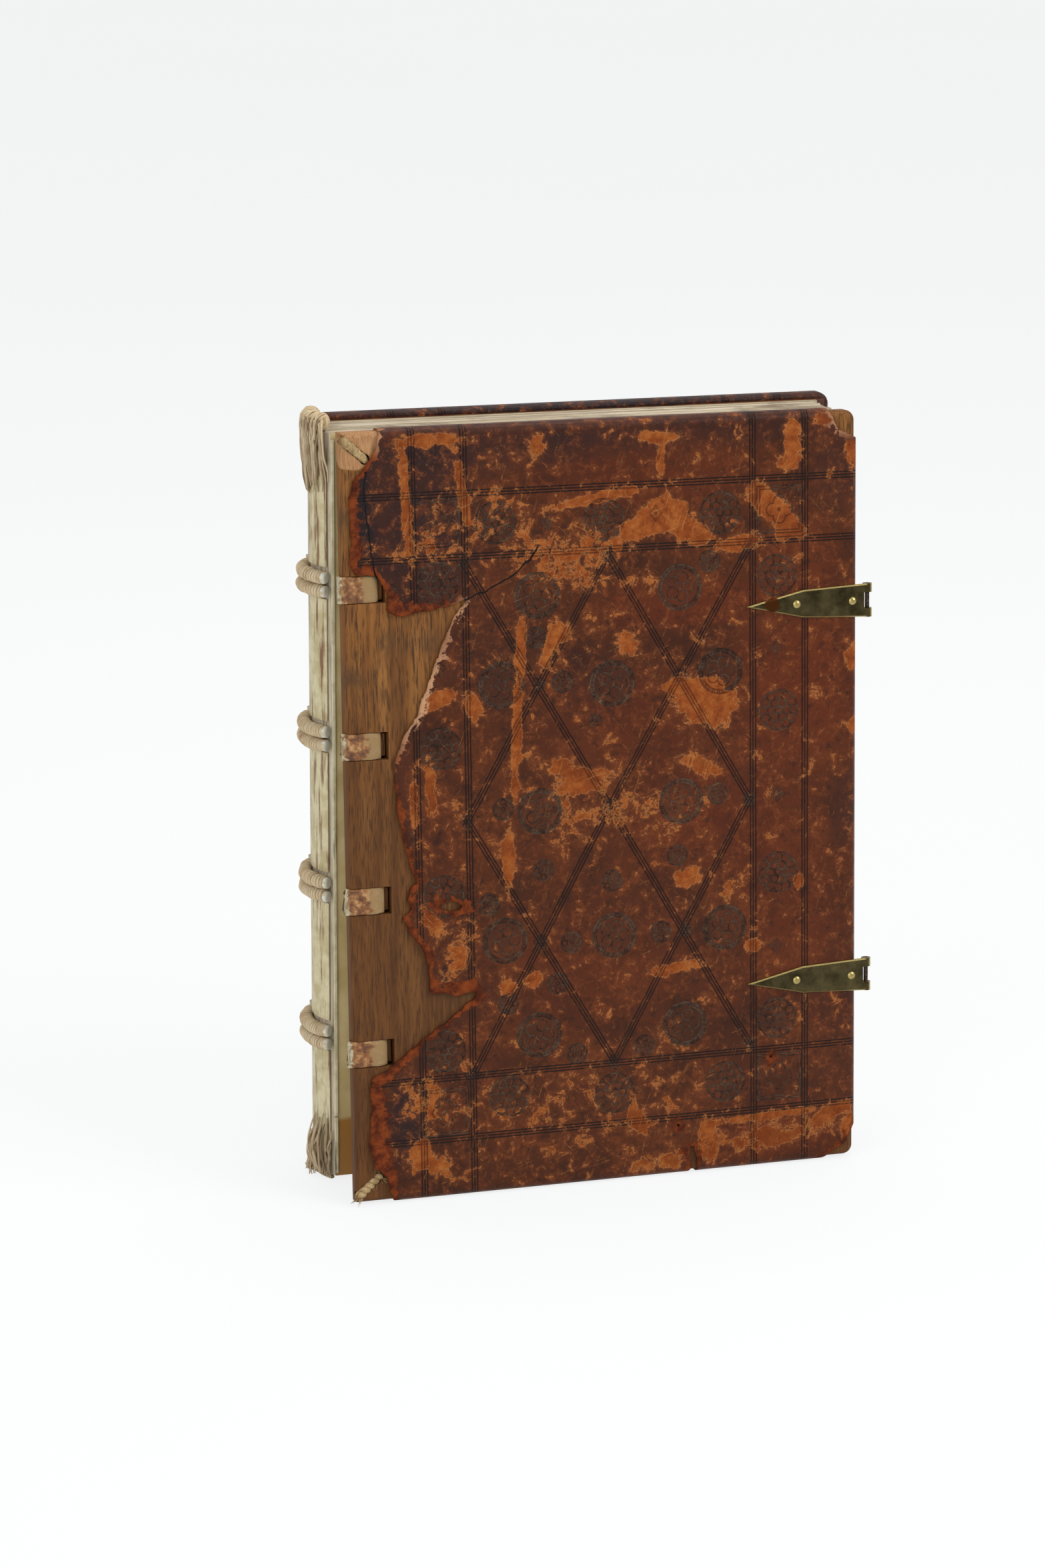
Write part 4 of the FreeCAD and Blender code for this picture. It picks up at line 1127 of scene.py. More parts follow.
@dataclass
class CoverLeather:
    """A cover's leather, drawn over the board's face and edges, tooled, and torn or whole."""

    cover: Cover
    name: str
    node: str
    wear: Wear
    torn_edge: Points = ()
    cut_outs: Sequence[Points] = ()
    start: float = 1.6
    cell: float = 1.45
    thickness: float = 0.8
    lift: float = 0.8
    bared_mm: float = 5.0
    moth_hole: tuple[float, float, float, float] | None = None
    worm_holes: Sequence[tuple[float, float, float]] = ()
    frame_lines: tuple[float, ...] = (28.6, 49.7, 170.5, 193.0)
    cross_lines: tuple[float, ...] = (24.6, 50.3, 263.0, 288.3)

    def torn_distance(self, u: np.ndarray, v: np.ndarray) -> np.ndarray:
        """How far inside the torn or cut edge a place is, with the ragged edge of torn hide.

        The distance to the torn outline, the cut-outs and the holes, less a random field of about half a
        millimetre.

        Args:
            u: From the spine edge in mm.
            v: Up from the tail in mm.

        Returns:
            The distance, negative where there is no leather.
        """
        ragged = 0.45 * wave_noise(u, v, 7.0, 11) + 0.2 * wave_noise(u, v, 2.4, 12, 2)
        distance = u - self.start + 0.3 * wave_noise(u, v, 9.0, 14)
        if self.torn_edge:
            spare = 9.0
            right, low, high = self.cover.width + spare, -spare, self.cover.height + spare
            outline = ((self.torn_edge[0][0], low), *self.torn_edge, (self.torn_edge[-1][0], high))
            distance = side_of_outline(u, v, (*outline, (right, high), (right, low))) + ragged
        for outline in self.cut_outs:
            distance = np.minimum(distance, ragged - side_of_outline(u, v, outline))
        if self.moth_hole:
            middle_u, middle_v, long, high = self.moth_hole
            oval = (np.hypot((u - middle_u) / long, (v - middle_v) / high) - 1.0) * high
            distance = np.minimum(distance, oval + 0.4 * ragged)
        for middle_u, middle_v, radius in self.worm_holes:
            distance = np.minimum(distance, np.hypot(u - middle_u, v - middle_v) - radius)
        return distance

    def kept(self, a: np.ndarray, b: np.ndarray) -> np.ndarray:
        """How far inside the sheet a place is, in its flat coordinates."""
        u, _, v, past = self.cover.fold(a, b)
        return np.minimum(self.torn_distance(u, v), self.cover.sheet_reach - past)

    def cut_sheet(self) -> tuple[np.ndarray, np.ndarray, np.ndarray]:
        """Cut the flat sheet out of a grid.

        Faces whose middle is inside are kept, and the points on their rim are moved on to the edge by stepping
        down the slope of the distance.

        Returns:
            The points' a and b, and the kept faces.
        """
        cover = self.cover
        reach = cover.sheet_reach
        a_line = np.arange(-1.0, cover.width - cover.corner + reach + self.cell, self.cell)
        b_line = np.arange(cover.corner - reach, cover.height - cover.corner + reach + self.cell, self.cell)
        a, b = (grid.ravel() for grid in np.meshgrid(a_line, b_line))
        index = np.arange(a.size).reshape(len(b_line), len(a_line))
        quads = np.stack([index[:-1, :-1], index[:-1, 1:], index[1:, 1:], index[1:, :-1]], axis=-1).reshape(-1, 4)
        middle = self.kept(a[quads].mean(axis=1), b[quads].mean(axis=1))
        quads = quads[middle > 0.0]
        uses = np.bincount(quads.ravel(), minlength=a.size)
        rim = np.flatnonzero((uses > 0) & (uses < 4))
        for _ in range(3):
            here = self.kept(a[rim], b[rim])
            step = 0.05
            slope_a = (self.kept(a[rim] + step, b[rim]) - here) / step
            slope_b = (self.kept(a[rim], b[rim] + step) - here) / step
            size = np.maximum(slope_a ** 2 + slope_b ** 2, 0.3)
            a[rim] -= np.clip(here * slope_a / size, -0.8, 0.8)
            b[rim] -= np.clip(here * slope_b / size, -0.8, 0.8)
        used = np.unique(quads)
        renumber = np.full(a.size, -1)
        renumber[used] = np.arange(used.size)
        return a[used], b[used], renumber[quads]

    def relief(self, u: np.ndarray, v: np.ndarray, past: np.ndarray, torn: np.ndarray) -> np.ndarray:
        """How far the skin stands off the board's face: soft waves, and lips where the torn edge has dried up.

        Args:
            u: From the spine edge in mm.
            v: Up from the tail in mm.
            past: The distance past the core.
            torn: The distance inside the torn edge.

        Returns:
            The offset outwards in mm.
        """
        face = np.clip(1.0 - past / 4.0, 0.0, 1.0)
        waves = 0.10 * wave_noise(u, v, 55.0, 21, 3)
        curl = 0.5 + 0.5 * wave_noise(u, v, 36.0, 22, 2)
        lip = self.lift * np.clip(curl, 0.05, 1.2) * np.exp(-np.maximum(torn, 0.0) / 2.6) if self.torn_edge else 0.0
        return face * (waves + lip)

    def build(self, material: bpy.types.Material) -> bpy.types.Object:
        """Make the leather with its wear, stamp, fillet and edge fields, and give it a thickness.

        Args:
            material: The calf.

        Returns:
            The piece.
        """
        a, b, quads = self.cut_sheet()
        u, n, v, past = self.cover.fold(a, b)
        torn = self.torn_distance(u, v)
        points = self.cover.place(u, n - self.relief(u, v, past, torn), v) * MM
        if not self.cover.faces_front:
            quads = quads[:, ::-1]
        made = Shell(points, quads, [], {}).piece(self.name, material, self.cover.body)
        self.store_fields(made.data, quads, u, v, torn)
        solid = made.modifiers.new("thickness", "SOLIDIFY")
        solid.thickness = self.thickness * MM
        solid.offset = -1.0
        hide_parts(self.node)
        return made

    def store_fields(self, mesh: bpy.types.Mesh, quads: np.ndarray, u: np.ndarray, v: np.ndarray,
                     torn: np.ndarray) -> None:
        """Put the fields that the calf's material reads on the mesh's face corners.

        Args:
            mesh: The sheet.
            quads: Its faces.
            u: Each point's place from the spine edge.
            v: Each point's height.
            torn: Each point's distance inside the torn edge.
        """
        corners = np.stack([u[quads], v[quads]], axis=-1)
        middles = corners.mean(axis=1)
        places = np.array([place for spots in STAMPS.values() for place in spots], dtype=float)
        kinds = np.array([stamp.value for stamp, spots in STAMPS.items() for _ in spots], dtype=float)
        reaches = np.array([stamp.radius for stamp, spots in STAMPS.items() for _ in spots])
        share = np.linalg.norm(middles[:, None] - places, axis=-1) / reaches
        pick = share.argmin(axis=1)
        local = corners - places[pick][:, None]
        kind = np.where(share.min(axis=1) < 1.25, kinds[pick], -5.0)
        stamp = np.concatenate([local, np.repeat(kind[:, None, None], 4, axis=1)], axis=-1)

        tall, wide = self.cover.height, self.cover.width
        upright = [((x, 0.0), (x, tall)) for x in self.frame_lines]
        level = [((0.0, y), (wide, y)) for y in self.cross_lines]
        cracks = [pair for line in CRACKS for pair in zip(line[:-1], line[1:])] if self.torn_edge else [NOWHERE]
        families = []
        for family in (upright, level, LATTICE_FALLING, LATTICE_RISING, cracks):
            ends = np.array(family, dtype=float)
            families.append(nearest_line(middles, corners, ends[:, 0], ends[:, 1]))
        corner_u, corner_v = corners[..., 0], corners[..., 1]
        wander = 0.5 * wave_noise(corner_u, corner_v, 8.0, 31)
        pale = blobs(corner_u, corner_v, PALE_EDGES)
        bared = self.bared_mm * blobs(corner_u, corner_v, BARED_EDGES)
        layers = {
            "stamp": stamp,
            "fillet_frame": np.stack([families[0], families[1], np.zeros_like(families[0])], axis=-1),
            "fillet_lattice": np.stack([families[2], families[3], np.zeros_like(families[0])], axis=-1),
            "edge": np.stack([torn[quads] - bared, pale, families[4] + wander], axis=-1),
            "tone": np.stack([
                self.wear.base + blobs(corner_u, corner_v, self.wear.flaked),
                np.clip(blobs(corner_u, corner_v, self.wear.dark), 0.0, 1.0),
                np.clip(blobs(corner_u, corner_v, self.wear.red), 0.0, 1.0)], axis=-1),
        }
        for name, values in layers.items():
            layer = mesh.attributes.new(name, "FLOAT_VECTOR", "CORNER")
            layer.data.foreach_set("vector", np.ascontiguousarray(values.reshape(-1), dtype=np.float32))


@dataclass(frozen=True)
class FleshedCalf:
    """The same calf where it is turned in: untooled, pared thin and stained by paste, a dull brown with open pores."""

    name: str = "pared_calf"

    def make(self) -> bpy.types.Material:
        """Put the turned-in calf's material together.

        Returns:
            The material.
        """
        recipe = Recipe(self.name)
        spot = recipe.add("TexCoord", out="Object")
        cloud = recipe.add("TexNoise", {"Vector": spot, "Scale": per(16.0), "Detail": 6.0, "Roughness": 0.65})
        pores = recipe.add("TexVoronoi", {"Vector": spot, "Scale": per(1.1)})
        colour = recipe.add("ValToRGB", (cloud,), stops=((0.35, "#3c1f13"), (0.5, "#5e2f18"), (0.7, "#814c28")))
        bump = recipe.add("Bump", {"Strength": 0.5, "Distance": 0.15 * MM, "Height": pores})
        return recipe.finish(Base_Color=colour, Roughness=0.6, Normal=bump)


@dataclass
class TurnIns:
    """The calf's edges turned in over the head, fore-edge and tail of a cover's inner face."""

    cover: Cover
    name: str
    start: float
    edge: float = 2.3
    reach: float = 19.0
    top: float = 9.4
    thickness: float = 0.85

    def build(self, material: bpy.types.Material) -> bpy.types.Object:
        """Make three flat strips that meet in mitres at the corners.

        A strip's section is a flat loop from the board's edge to the strip's inner edge, which wanders by half a
        millimetre as a knife does; its length shrinks with the distance from the edge, which gives the mitre.

        Args:
            material: The pared calf.

        Returns:
            The piece.
        """
        cover = self.cover
        share = np.concatenate([np.linspace(0.0, 1.0, 9), np.linspace(1.0, 0.0, 9)])[None, :]
        under = np.repeat([0.0, 1.0], 9)[None, :]
        along = np.linspace(0.0, 1.0, 90)[:, None]
        knife = 0.4 * wave_noise(along * cover.height, 0.0 * along, 70.0, 51)
        inset = self.edge + share * (self.reach - self.edge + knife)
        n = self.top - self.thickness * under + 0.0 * inset
        across = self.start + along * (cover.width - inset - self.start)
        strips = ((across, cover.height - inset), (across, inset),
                  (cover.width - inset, inset + along * (cover.height - 2.0 * inset)))
        shells = [Shell.grid(cover.place(u, n, v) * MM, round_columns=True, capped=True).outward() for u, v in strips]
        made = Shell.joined(shells).piece(self.name, material, cover.body, smooth=False)
        return made


@dataclass
class BrokenThong:
    """The stub of a split thong in the front board: a strap that dips into its slot, broken off at the spine edge."""

    cover: Cover
    index: int
    middle: float
    half_height: float = 5.45
    top: Points = ((-1.4, 2.4), (-0.4, 1.2), (0.8, 0.5), (2.5, 0.25), (8.0, 0.2), (11.2, 0.35), (12.9, 1.0),
                   (14.2, 2.0), (14.9, 3.6))
    floor: float = 4.9

    def build(self, material: bpy.types.Material) -> bpy.types.Object:
        """Make the stub: a rounded strap section carried along its length, roughened as dry hide.

        At each place along the strap the section is a superellipse between the strap's top line and its floor, and
        the broken end's fibres stand out by a random amount.

        Args:
            material: The thong's finish.

        Returns:
            The piece.
        """
        top = np.array(self.top)
        along = np.linspace(top[0, 0], top[-1, 0], 46)
        high = np.interp(along, top[:, 0], top[:, 1])
        turn = np.linspace(0.0, 2.0 * math.pi, 60, endpoint=False)
        cosine, sine = np.cos(turn), np.sin(turn)
        flat = np.sign(cosine) * np.abs(cosine) ** 0.38
        deep = np.sign(sine) * np.abs(sine) ** 0.38
        centre = (high + self.floor) / 2.0
        half = (self.floor - high) / 2.0
        v = self.middle + self.half_height * flat[None, :] * (1.0 + 0.0 * along[:, None])
        n = centre[:, None] + half[:, None] * deep[None, :]
        u = np.broadcast_to(along[:, None], v.shape).copy()
        seed = 40 + self.index
        fibre = wave_noise(v, n, 2.4, seed, 3)
        frayed = np.clip(1.0 - (along[:, None] - along[0]) / 2.4, 0.0, 1.0)
        u += 0.75 * frayed * fibre
        rough = 0.16 * wave_noise(u, v + 3.0 * n, 5.0, seed + 10) + 0.07 * wave_noise(u, v, 1.2, seed + 20, 2)
        n += np.where(sine[None, :] < 0.3, rough, 0.0)
        v += np.where(np.abs(cosine)[None, :] > 0.7, 0.1 * rough, 0.0)
        stained = np.clip((u + 0.9 + 1.2 * fibre) / 1.4, 0.0, 1.0)
        stained *= 0.3 + 0.7 * np.clip((9.0 - u + 2.0 * fibre) / 3.0, 0.0, 1.0)
        shell = Shell.grid(self.cover.place(u, n, v) * MM, round_columns=True, capped=True, stained=stained).outward()
        made = shell.piece(f"broken_thong_{self.index}", material, self.cover.body)
        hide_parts(f"front_thong_stub_{self.index}")
        return made


@dataclass(frozen=True)
class BrokenThongHide:
    """Alum-tawed hide where it broke: chalk white fibres, a rust-stained skin behind, pale again where it dips."""

    name: str = "broken_tawed_hide"

    def make(self) -> bpy.types.Material:
        """Put the hide's material together.

        Returns:
            The material.
        """
        recipe = Recipe(self.name)
        spot = recipe.add("TexCoord", out="Object")
        patch = recipe.add("TexNoise", {"Vector": spot, "Scale": per(3.2), "Detail": 7.0, "Roughness": 0.72})
        fibre = recipe.add("TexNoise", {"Vector": spot, "Scale": per(0.6), "Detail": 4.0, "Roughness": 0.7})
        stained = recipe.add("Attribute", out="Fac", attribute_name="stained")
        chalk = recipe.add("ValToRGB", (fibre,), stops=((0.35, "#85745a"), (0.5, "#bdae8e"), (0.7, "#d6cdb6")))
        rust = recipe.add("ValToRGB", (patch,), stops=((0.38, "#4f2c13"), (0.52, "#8a5526"), (0.64, "#b8915f")))
        field = recipe.add("Math MULTIPLY_ADD", (patch, -0.5, stained))
        brown = recipe.step(field, 0.1, 0.5)
        tan = recipe.step(field, -0.15, 0.05)
        colour = recipe.add("Mix", {0: tan, 6: chalk, 7: "#96784e"}, out=2, data_type="RGBA")
        colour = recipe.add("Mix", {0: brown, 6: colour, 7: rust}, out=2, data_type="RGBA")
        relief = recipe.add("Math MULTIPLY_ADD", (patch, 0.6, fibre))
        bump = recipe.add("Bump", {"Strength": 0.8, "Distance": 0.35 * MM, "Height": relief})
        roughness = recipe.add("MapRange", (brown, 0.0, 1.0, 0.85, 0.5))
        return recipe.finish(Base_Color=colour, Roughness=roughness, Normal=bump)


@dataclass
class LacedSlip:
    """The frayed end of an endband core, laid across a corner of the board and down a hole."""

    cover: Cover
    name: str
    node: str
    corner_v: float
    direction: float
    radius: float = 2.15
    run_mm: float = 13.0
    twist_mm: float = 8.0
    fibre_count: int = 120

    def build(self, material: bpy.types.Material) -> bpy.types.Object:
        """Make the slip: three strands twisted about each other along the groove, and loose fibres all along it.

        Each strand's path is the groove's line plus a circle of half the slip's radius that turns once in 8 mm.

        Args:
            material: The cord's finish.

        Returns:
            The piece.
        """
        start = np.array([1.0, 1.3, self.corner_v + 3.7 * self.direction])
        end = np.array([10.6, 3.2, self.corner_v + 11.8 * self.direction])
        share = np.linspace(0.0, 1.0, 50)
        line = start + share[:, None] * (end - start)
        turn = 2.0 * math.pi * self.run_mm / self.twist_mm * share
        random = np.random.default_rng(int(self.corner_v) + 7)
        shells = []
        for phase in (0.0, 2.1, 4.2):
            path = line.copy()
            path[:, 1] += 0.5 * self.radius * np.cos(turn + phase)
            path[:, 2] += 0.5 * self.radius * np.sin(turn + phase)
            size = 0.58 * self.radius * (1.0 + 0.05 * np.sin(9.0 * share + phase))
            shells.append(tube(self.cover.place(*path.T), size, 12, furrow=np.zeros(50)))
        for _ in range(self.fibre_count):
            share = random.random() ** 2.2
            root = start + share * (end - start) + random.normal(0.0, 0.6, 3)
            lean = random.normal(0.0, 0.8, 3) + np.array([-0.5 * (1.0 - share), -0.7, -0.3 * self.direction])
            tip = root + lean * random.uniform(0.8, 2.2)
            tip[2] = np.clip(tip[2], 0.9, self.cover.height - 0.9)
            middle = (root + tip) / 2.0 + random.normal(0.0, 0.2, 3)
            path = smooth_path(np.stack([root, middle, tip]), 7)
            shells.append(tube(self.cover.place(*path.T), np.linspace(0.14, 0.06, 7), 5, furrow=np.zeros(7)))
        made = Shell.joined(shells).piece(self.name, material, self.cover.body)
        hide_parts(self.node)
        return made


# ---- the leaves and the sewing


@dataclass(frozen=True)
class Spine:
    """The rounded spine's arc in plan, in mm, with the angle 0 at its middle and growing towards the front."""

    middle_x: float = -91.722
    middle_y: float = 10.719
    radius: float = 20.0
    thong_heights: tuple[float, ...] = (63.0, 126.0, 189.0, 252.0)
    strand_pitch: float = 2.8
    head: float = 312.8
    tail: float = 2.4

    def around(self, radius: np.ndarray, angle: np.ndarray, z: np.ndarray) -> np.ndarray:
        """Points about the spine's axis, from an angle of 0 straight away from the leaves towards the front cover.

        Args:
            radius: Distances from the axis in mm.
            angle: Angles in radians.
            z: Heights in mm.

        Returns:
            The points, with X, Y and Z in the last axis.
        """
        x = self.middle_x - radius * np.cos(angle)
        y = self.middle_y - radius * np.sin(angle)
        return np.stack(np.broadcast_arrays(x, y, z), axis=-1)


@dataclass
class PackedSewing:
    """The four raised bands: linen thread packed round both strands of each split thong."""

    spine: Spine
    wrap_radius: float = 2.72
    path_radius: float = 22.75
    thread_pitch: float = 1.35
    reach_deg: float = 37.0

    def strand(self, z: float, seed: int) -> Shell:
        """One wrapped strand: a tube along the spine's arc whose radius swells over each turn of thread.

        The swelling is the height of a half circle across each turn, and turns differ a little in size and slant.

        Args:
            z: The strand's height.
            seed: Which strand.

        Returns:
            The closed tube.
        """
        random = np.random.default_rng(seed)
        reach = math.radians(self.reach_deg)
        length = 2.0 * reach * self.path_radius
        turns = int(length / self.thread_pitch)
        share = np.linspace(0.0, 1.0, turns * 7 + 1)
        sides = 26
        turn = np.linspace(0.0, 2.0 * math.pi, sides, endpoint=False)
        slant = 0.35 * np.sin(turn + 0.6) + 0.12 * np.sin(2.0 * turn + seed)
        phase = share[:, None] * turns + slant[None, :] + 0.25 * np.sin(9.0 * share[:, None] + seed)
        crown = thread_crown(phase)
        size = 1.0 + random.normal(0.0, 0.22, turns + 3)[np.clip(np.floor(phase).astype(int) + 1, 0, turns + 2)]
        ends = np.clip(np.minimum(share, 1.0 - share) * 26.0, 0.0, 1.0)[:, None]
        radius = self.wrap_radius - 0.55 + 0.55 * crown * size - 0.25 * (1.0 - ends)
        angle = (share - 0.5) * 2.0 * reach
        wander = 0.12 * np.sin(7.0 * share + seed)
        path = self.spine.around(self.path_radius + 0.06 * np.sin(13.0 * share + seed), angle, z + wander)
        # painted shade in the furrows between turns of thread
        return tube(path, radius, sides, furrow=1.0 - crown)

    def cut_end(self, z: float, seed: int) -> Shell:
        """The core's broken end: a short tube whose rim and face are roughened like snapped fibre.

        Args:
            z: The strand's height.
            seed: Which strand.

        Returns:
            The closed tube.
        """
        angle = np.radians(np.array([35.5, 37.5, 39.5, 40.6, 41.2, 41.4]))
        path = self.spine.around(np.full(6, self.path_radius), angle, np.full(6, z))
        turn = np.linspace(0.0, 2.0 * math.pi, 20, endpoint=False)
        profile = np.array([2.25, 2.32, 2.35, 2.2, 1.5, 0.4])
        rough = 1.0 + 0.07 * wave_noise(3.0 * turn[None, :], profile[:, None] * 2.0 + seed, 2.5, seed, 3)
        return tube(path, profile[:, None] * rough, 20, furrow=np.zeros(6))

    def build(self, thread: bpy.types.Material, core: bpy.types.Material) -> None:
        """Make every band's wrapping and broken ends.

        Args:
            thread: The linen thread.
            core: The thong's broken core.
        """
        for number, height in enumerate(self.spine.thong_heights, start=1):
            levels = (height - self.spine.strand_pitch, height + self.spine.strand_pitch)
            wraps = Shell.joined([self.strand(z, 10 * number + side) for side, z in enumerate(levels)])
            made = wraps.piece(f"packed_sewing_{number}", thread, "book")
            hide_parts(f"sewing_wrap_{number}")
            ends = Shell.joined([self.cut_end(z, 10 * number + side) for side, z in enumerate(levels)])
            made = ends.piece(f"snapped_core_{number}", core, "book")


@dataclass
class HeadEndband:
    """The head endband: a core wound with thick thread, whose tie-downs have come loose over the top of the spine."""

    spine: Spine
    path_radius: float = 19.3
    roll_radius: float = 3.5
    roll_lift: float = 3.4
    reach_deg: float = 34.0
    bundle_low: float = 283.0
    bundle_reach_deg: float = 28.0
    bundle_radius: float = 20.5
    loose_count: int = 84
    loop_count: int = 15

    def roll(self) -> Shell:
        """The wound roll: a tube along the arc with a swelling for each turn of thread, uneven and slack.

        Returns:
            The closed tube.
        """
        random = np.random.default_rng(5)
        reach = math.radians(self.reach_deg)
        share = np.linspace(0.0, 1.0, 141)
        turns = 17
        turn = np.linspace(0.0, 2.0 * math.pi, 28, endpoint=False)
        phase = share[:, None] * turns + 0.5 * np.sin(turn - 0.4)[None, :] + 0.4 * np.sin(8.0 * share[:, None])
        crown = thread_crown(phase)
        size = 1.0 + random.normal(0.0, 0.35, turns + 4)[np.clip(np.floor(phase).astype(int) + 1, 0, turns + 3)]
        slack = 0.25 * wave_noise(share[:, None] * 24.0, turn[None, :] * 2.0, 9.0, 6)
        radius = self.roll_radius - 0.75 + 0.5 * crown * size + slack
        radius *= 1.0 - 0.25 * np.clip(1.0 - np.minimum(share, 1.0 - share) * 14.0, 0.0, 1.0)[:, None]
        angle = (share - 0.5) * 2.0 * reach
        path = self.spine.around(self.path_radius + 0.3 * np.sin(6.0 * share), angle, self.spine.head + self.roll_lift)
        # painted shade in the furrows between turns of thread
        return tube(path, radius, 28, furrow=(1.0 - crown) ** 2)

    def bundle(self) -> Shell:
        """The tie-downs that still lie together: a sheet on the spine, ridged into upright strands.

        Its distance from the spine's axis is a swelling along its height times a ridge for each strand; its back
        follows the spine.

        Returns:
            The closed sheet.
        """
        reach = math.radians(self.bundle_reach_deg)
        angle = np.linspace(-reach, reach, 150)
        share = np.linspace(0.0, 1.0, 44)
        swell = 1.5 * np.sin(np.pi * np.clip(share * 0.93 + 0.03, 0.0, 1.0)) ** 0.8
        ends = np.clip(1.0 - np.abs(angle) / reach, 0.0, 0.12) / 0.12
        strands = angle[None, :] * 34.0 + 0.8 * np.sin(share[:, None] * 5.0 + angle[None, :] * 4.0)
        ridge = 0.55 + 0.45 * np.abs(np.sin(strands * 1.35))
        ragged = 2.5 * wave_noise(angle * 40.0, angle * 0.0, 5.0, 9)
        low = self.bundle_low + 7.0 + 4.0 * np.abs(angle / reach) ** 2 + ragged
        z = low[None, :] + share[:, None] * (self.spine.head + 2.2 - low[None, :])
        out = self.bundle_radius + 0.05 + swell[:, None] * ridge * ends[None, :]
        front = self.spine.around(out, angle[None, :], z)
        back = self.spine.around(np.full_like(out, self.bundle_radius), angle[None, ::-1], z[:, ::-1])
        points = np.concatenate([front, back], axis=1)
        # painted shade: the whole front of the bundle is darkened as a shadowed gap, and more so in the furrows between
        # strands
        furrow = np.concatenate([0.35 + (1.0 - ridge) * 1.4, np.zeros_like(ridge)], axis=1)
        return Shell.grid(points * MM, round_columns=True, capped=True, furrow=furrow).outward()

    def loose_threads(self) -> list[Shell]:
        """Short tie-downs that have slipped off the bundle: thin tubes that hang from the roll and wander.

        Returns:
            The tubes.
        """
        random = np.random.default_rng(17)
        shells = []
        for count in range(self.loose_count):
            start = math.radians(random.uniform(-29.0, 36.0))
            drift = math.radians(random.uniform(-6.0, 6.0))
            length = random.uniform(11.0, 29.0)
            share = np.linspace(0.0, 1.0, 6)
            angle = start + drift * share + np.radians(random.normal(0.0, 1.0, 6))
            out = np.interp(share, (0.0, 0.15, 0.5, 1.0), (22.2, 22.8, 22.0 + random.uniform(-0.4, 0.9), 20.9))
            out += random.normal(0.0, 0.12, 6) + 0.35 * (count % 3 == 0)
            z = self.spine.head + random.uniform(2.0, 5.0) - length * share
            path = smooth_path(self.spine.around(out, angle, z), 26)
            taper = np.interp(np.linspace(0.0, 1.0, 26), (0.0, 0.8, 1.0), (1.0, 0.9, 0.3))
            radius = random.uniform(0.35, 0.75) * taper
            shells.append(tube(path, radius, 7, furrow=np.full(26, random.uniform(0.0, 0.9))))
        return shells

    def knot(self) -> list[Shell]:
        """Loops of thread wound over the roll's back end, where the eye sees it end on.

        Each loop is a circle about the roll's path, tilted a little, in a plane square to it.

        Returns:
            The tubes.
        """
        random = np.random.default_rng(23)
        shells = []
        for _ in range(self.loop_count):
            angle = math.radians(random.uniform(-30.0, 30.0))
            turn = np.linspace(-0.4, 1.5 * math.pi, 24) + random.uniform(-0.4, 0.4)
            size = self.roll_radius + random.uniform(-0.5, 0.1)
            swing = angle + math.radians(random.uniform(-6.0, 6.0)) * np.sin(turn)
            path = self.spine.around(self.path_radius + size * np.cos(turn), swing,
                                     self.spine.head + self.roll_lift + size * np.sin(turn))
            shells.append(tube(path, np.full(24, random.uniform(0.3, 0.5)), 7, furrow=np.full(24, 0.1)))
        return shells

    def build(self, thread: bpy.types.Material) -> bpy.types.Object:
        """Make the endband's threads.

        Args:
            thread: The linen thread.

        Returns:
            The piece.
        """
        shells = [self.roll(), self.bundle(), *self.loose_threads(), *self.knot()]
        made = Shell.joined(shells).piece("head_endband", thread, "book")
        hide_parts("head_endband_threads")
        return made


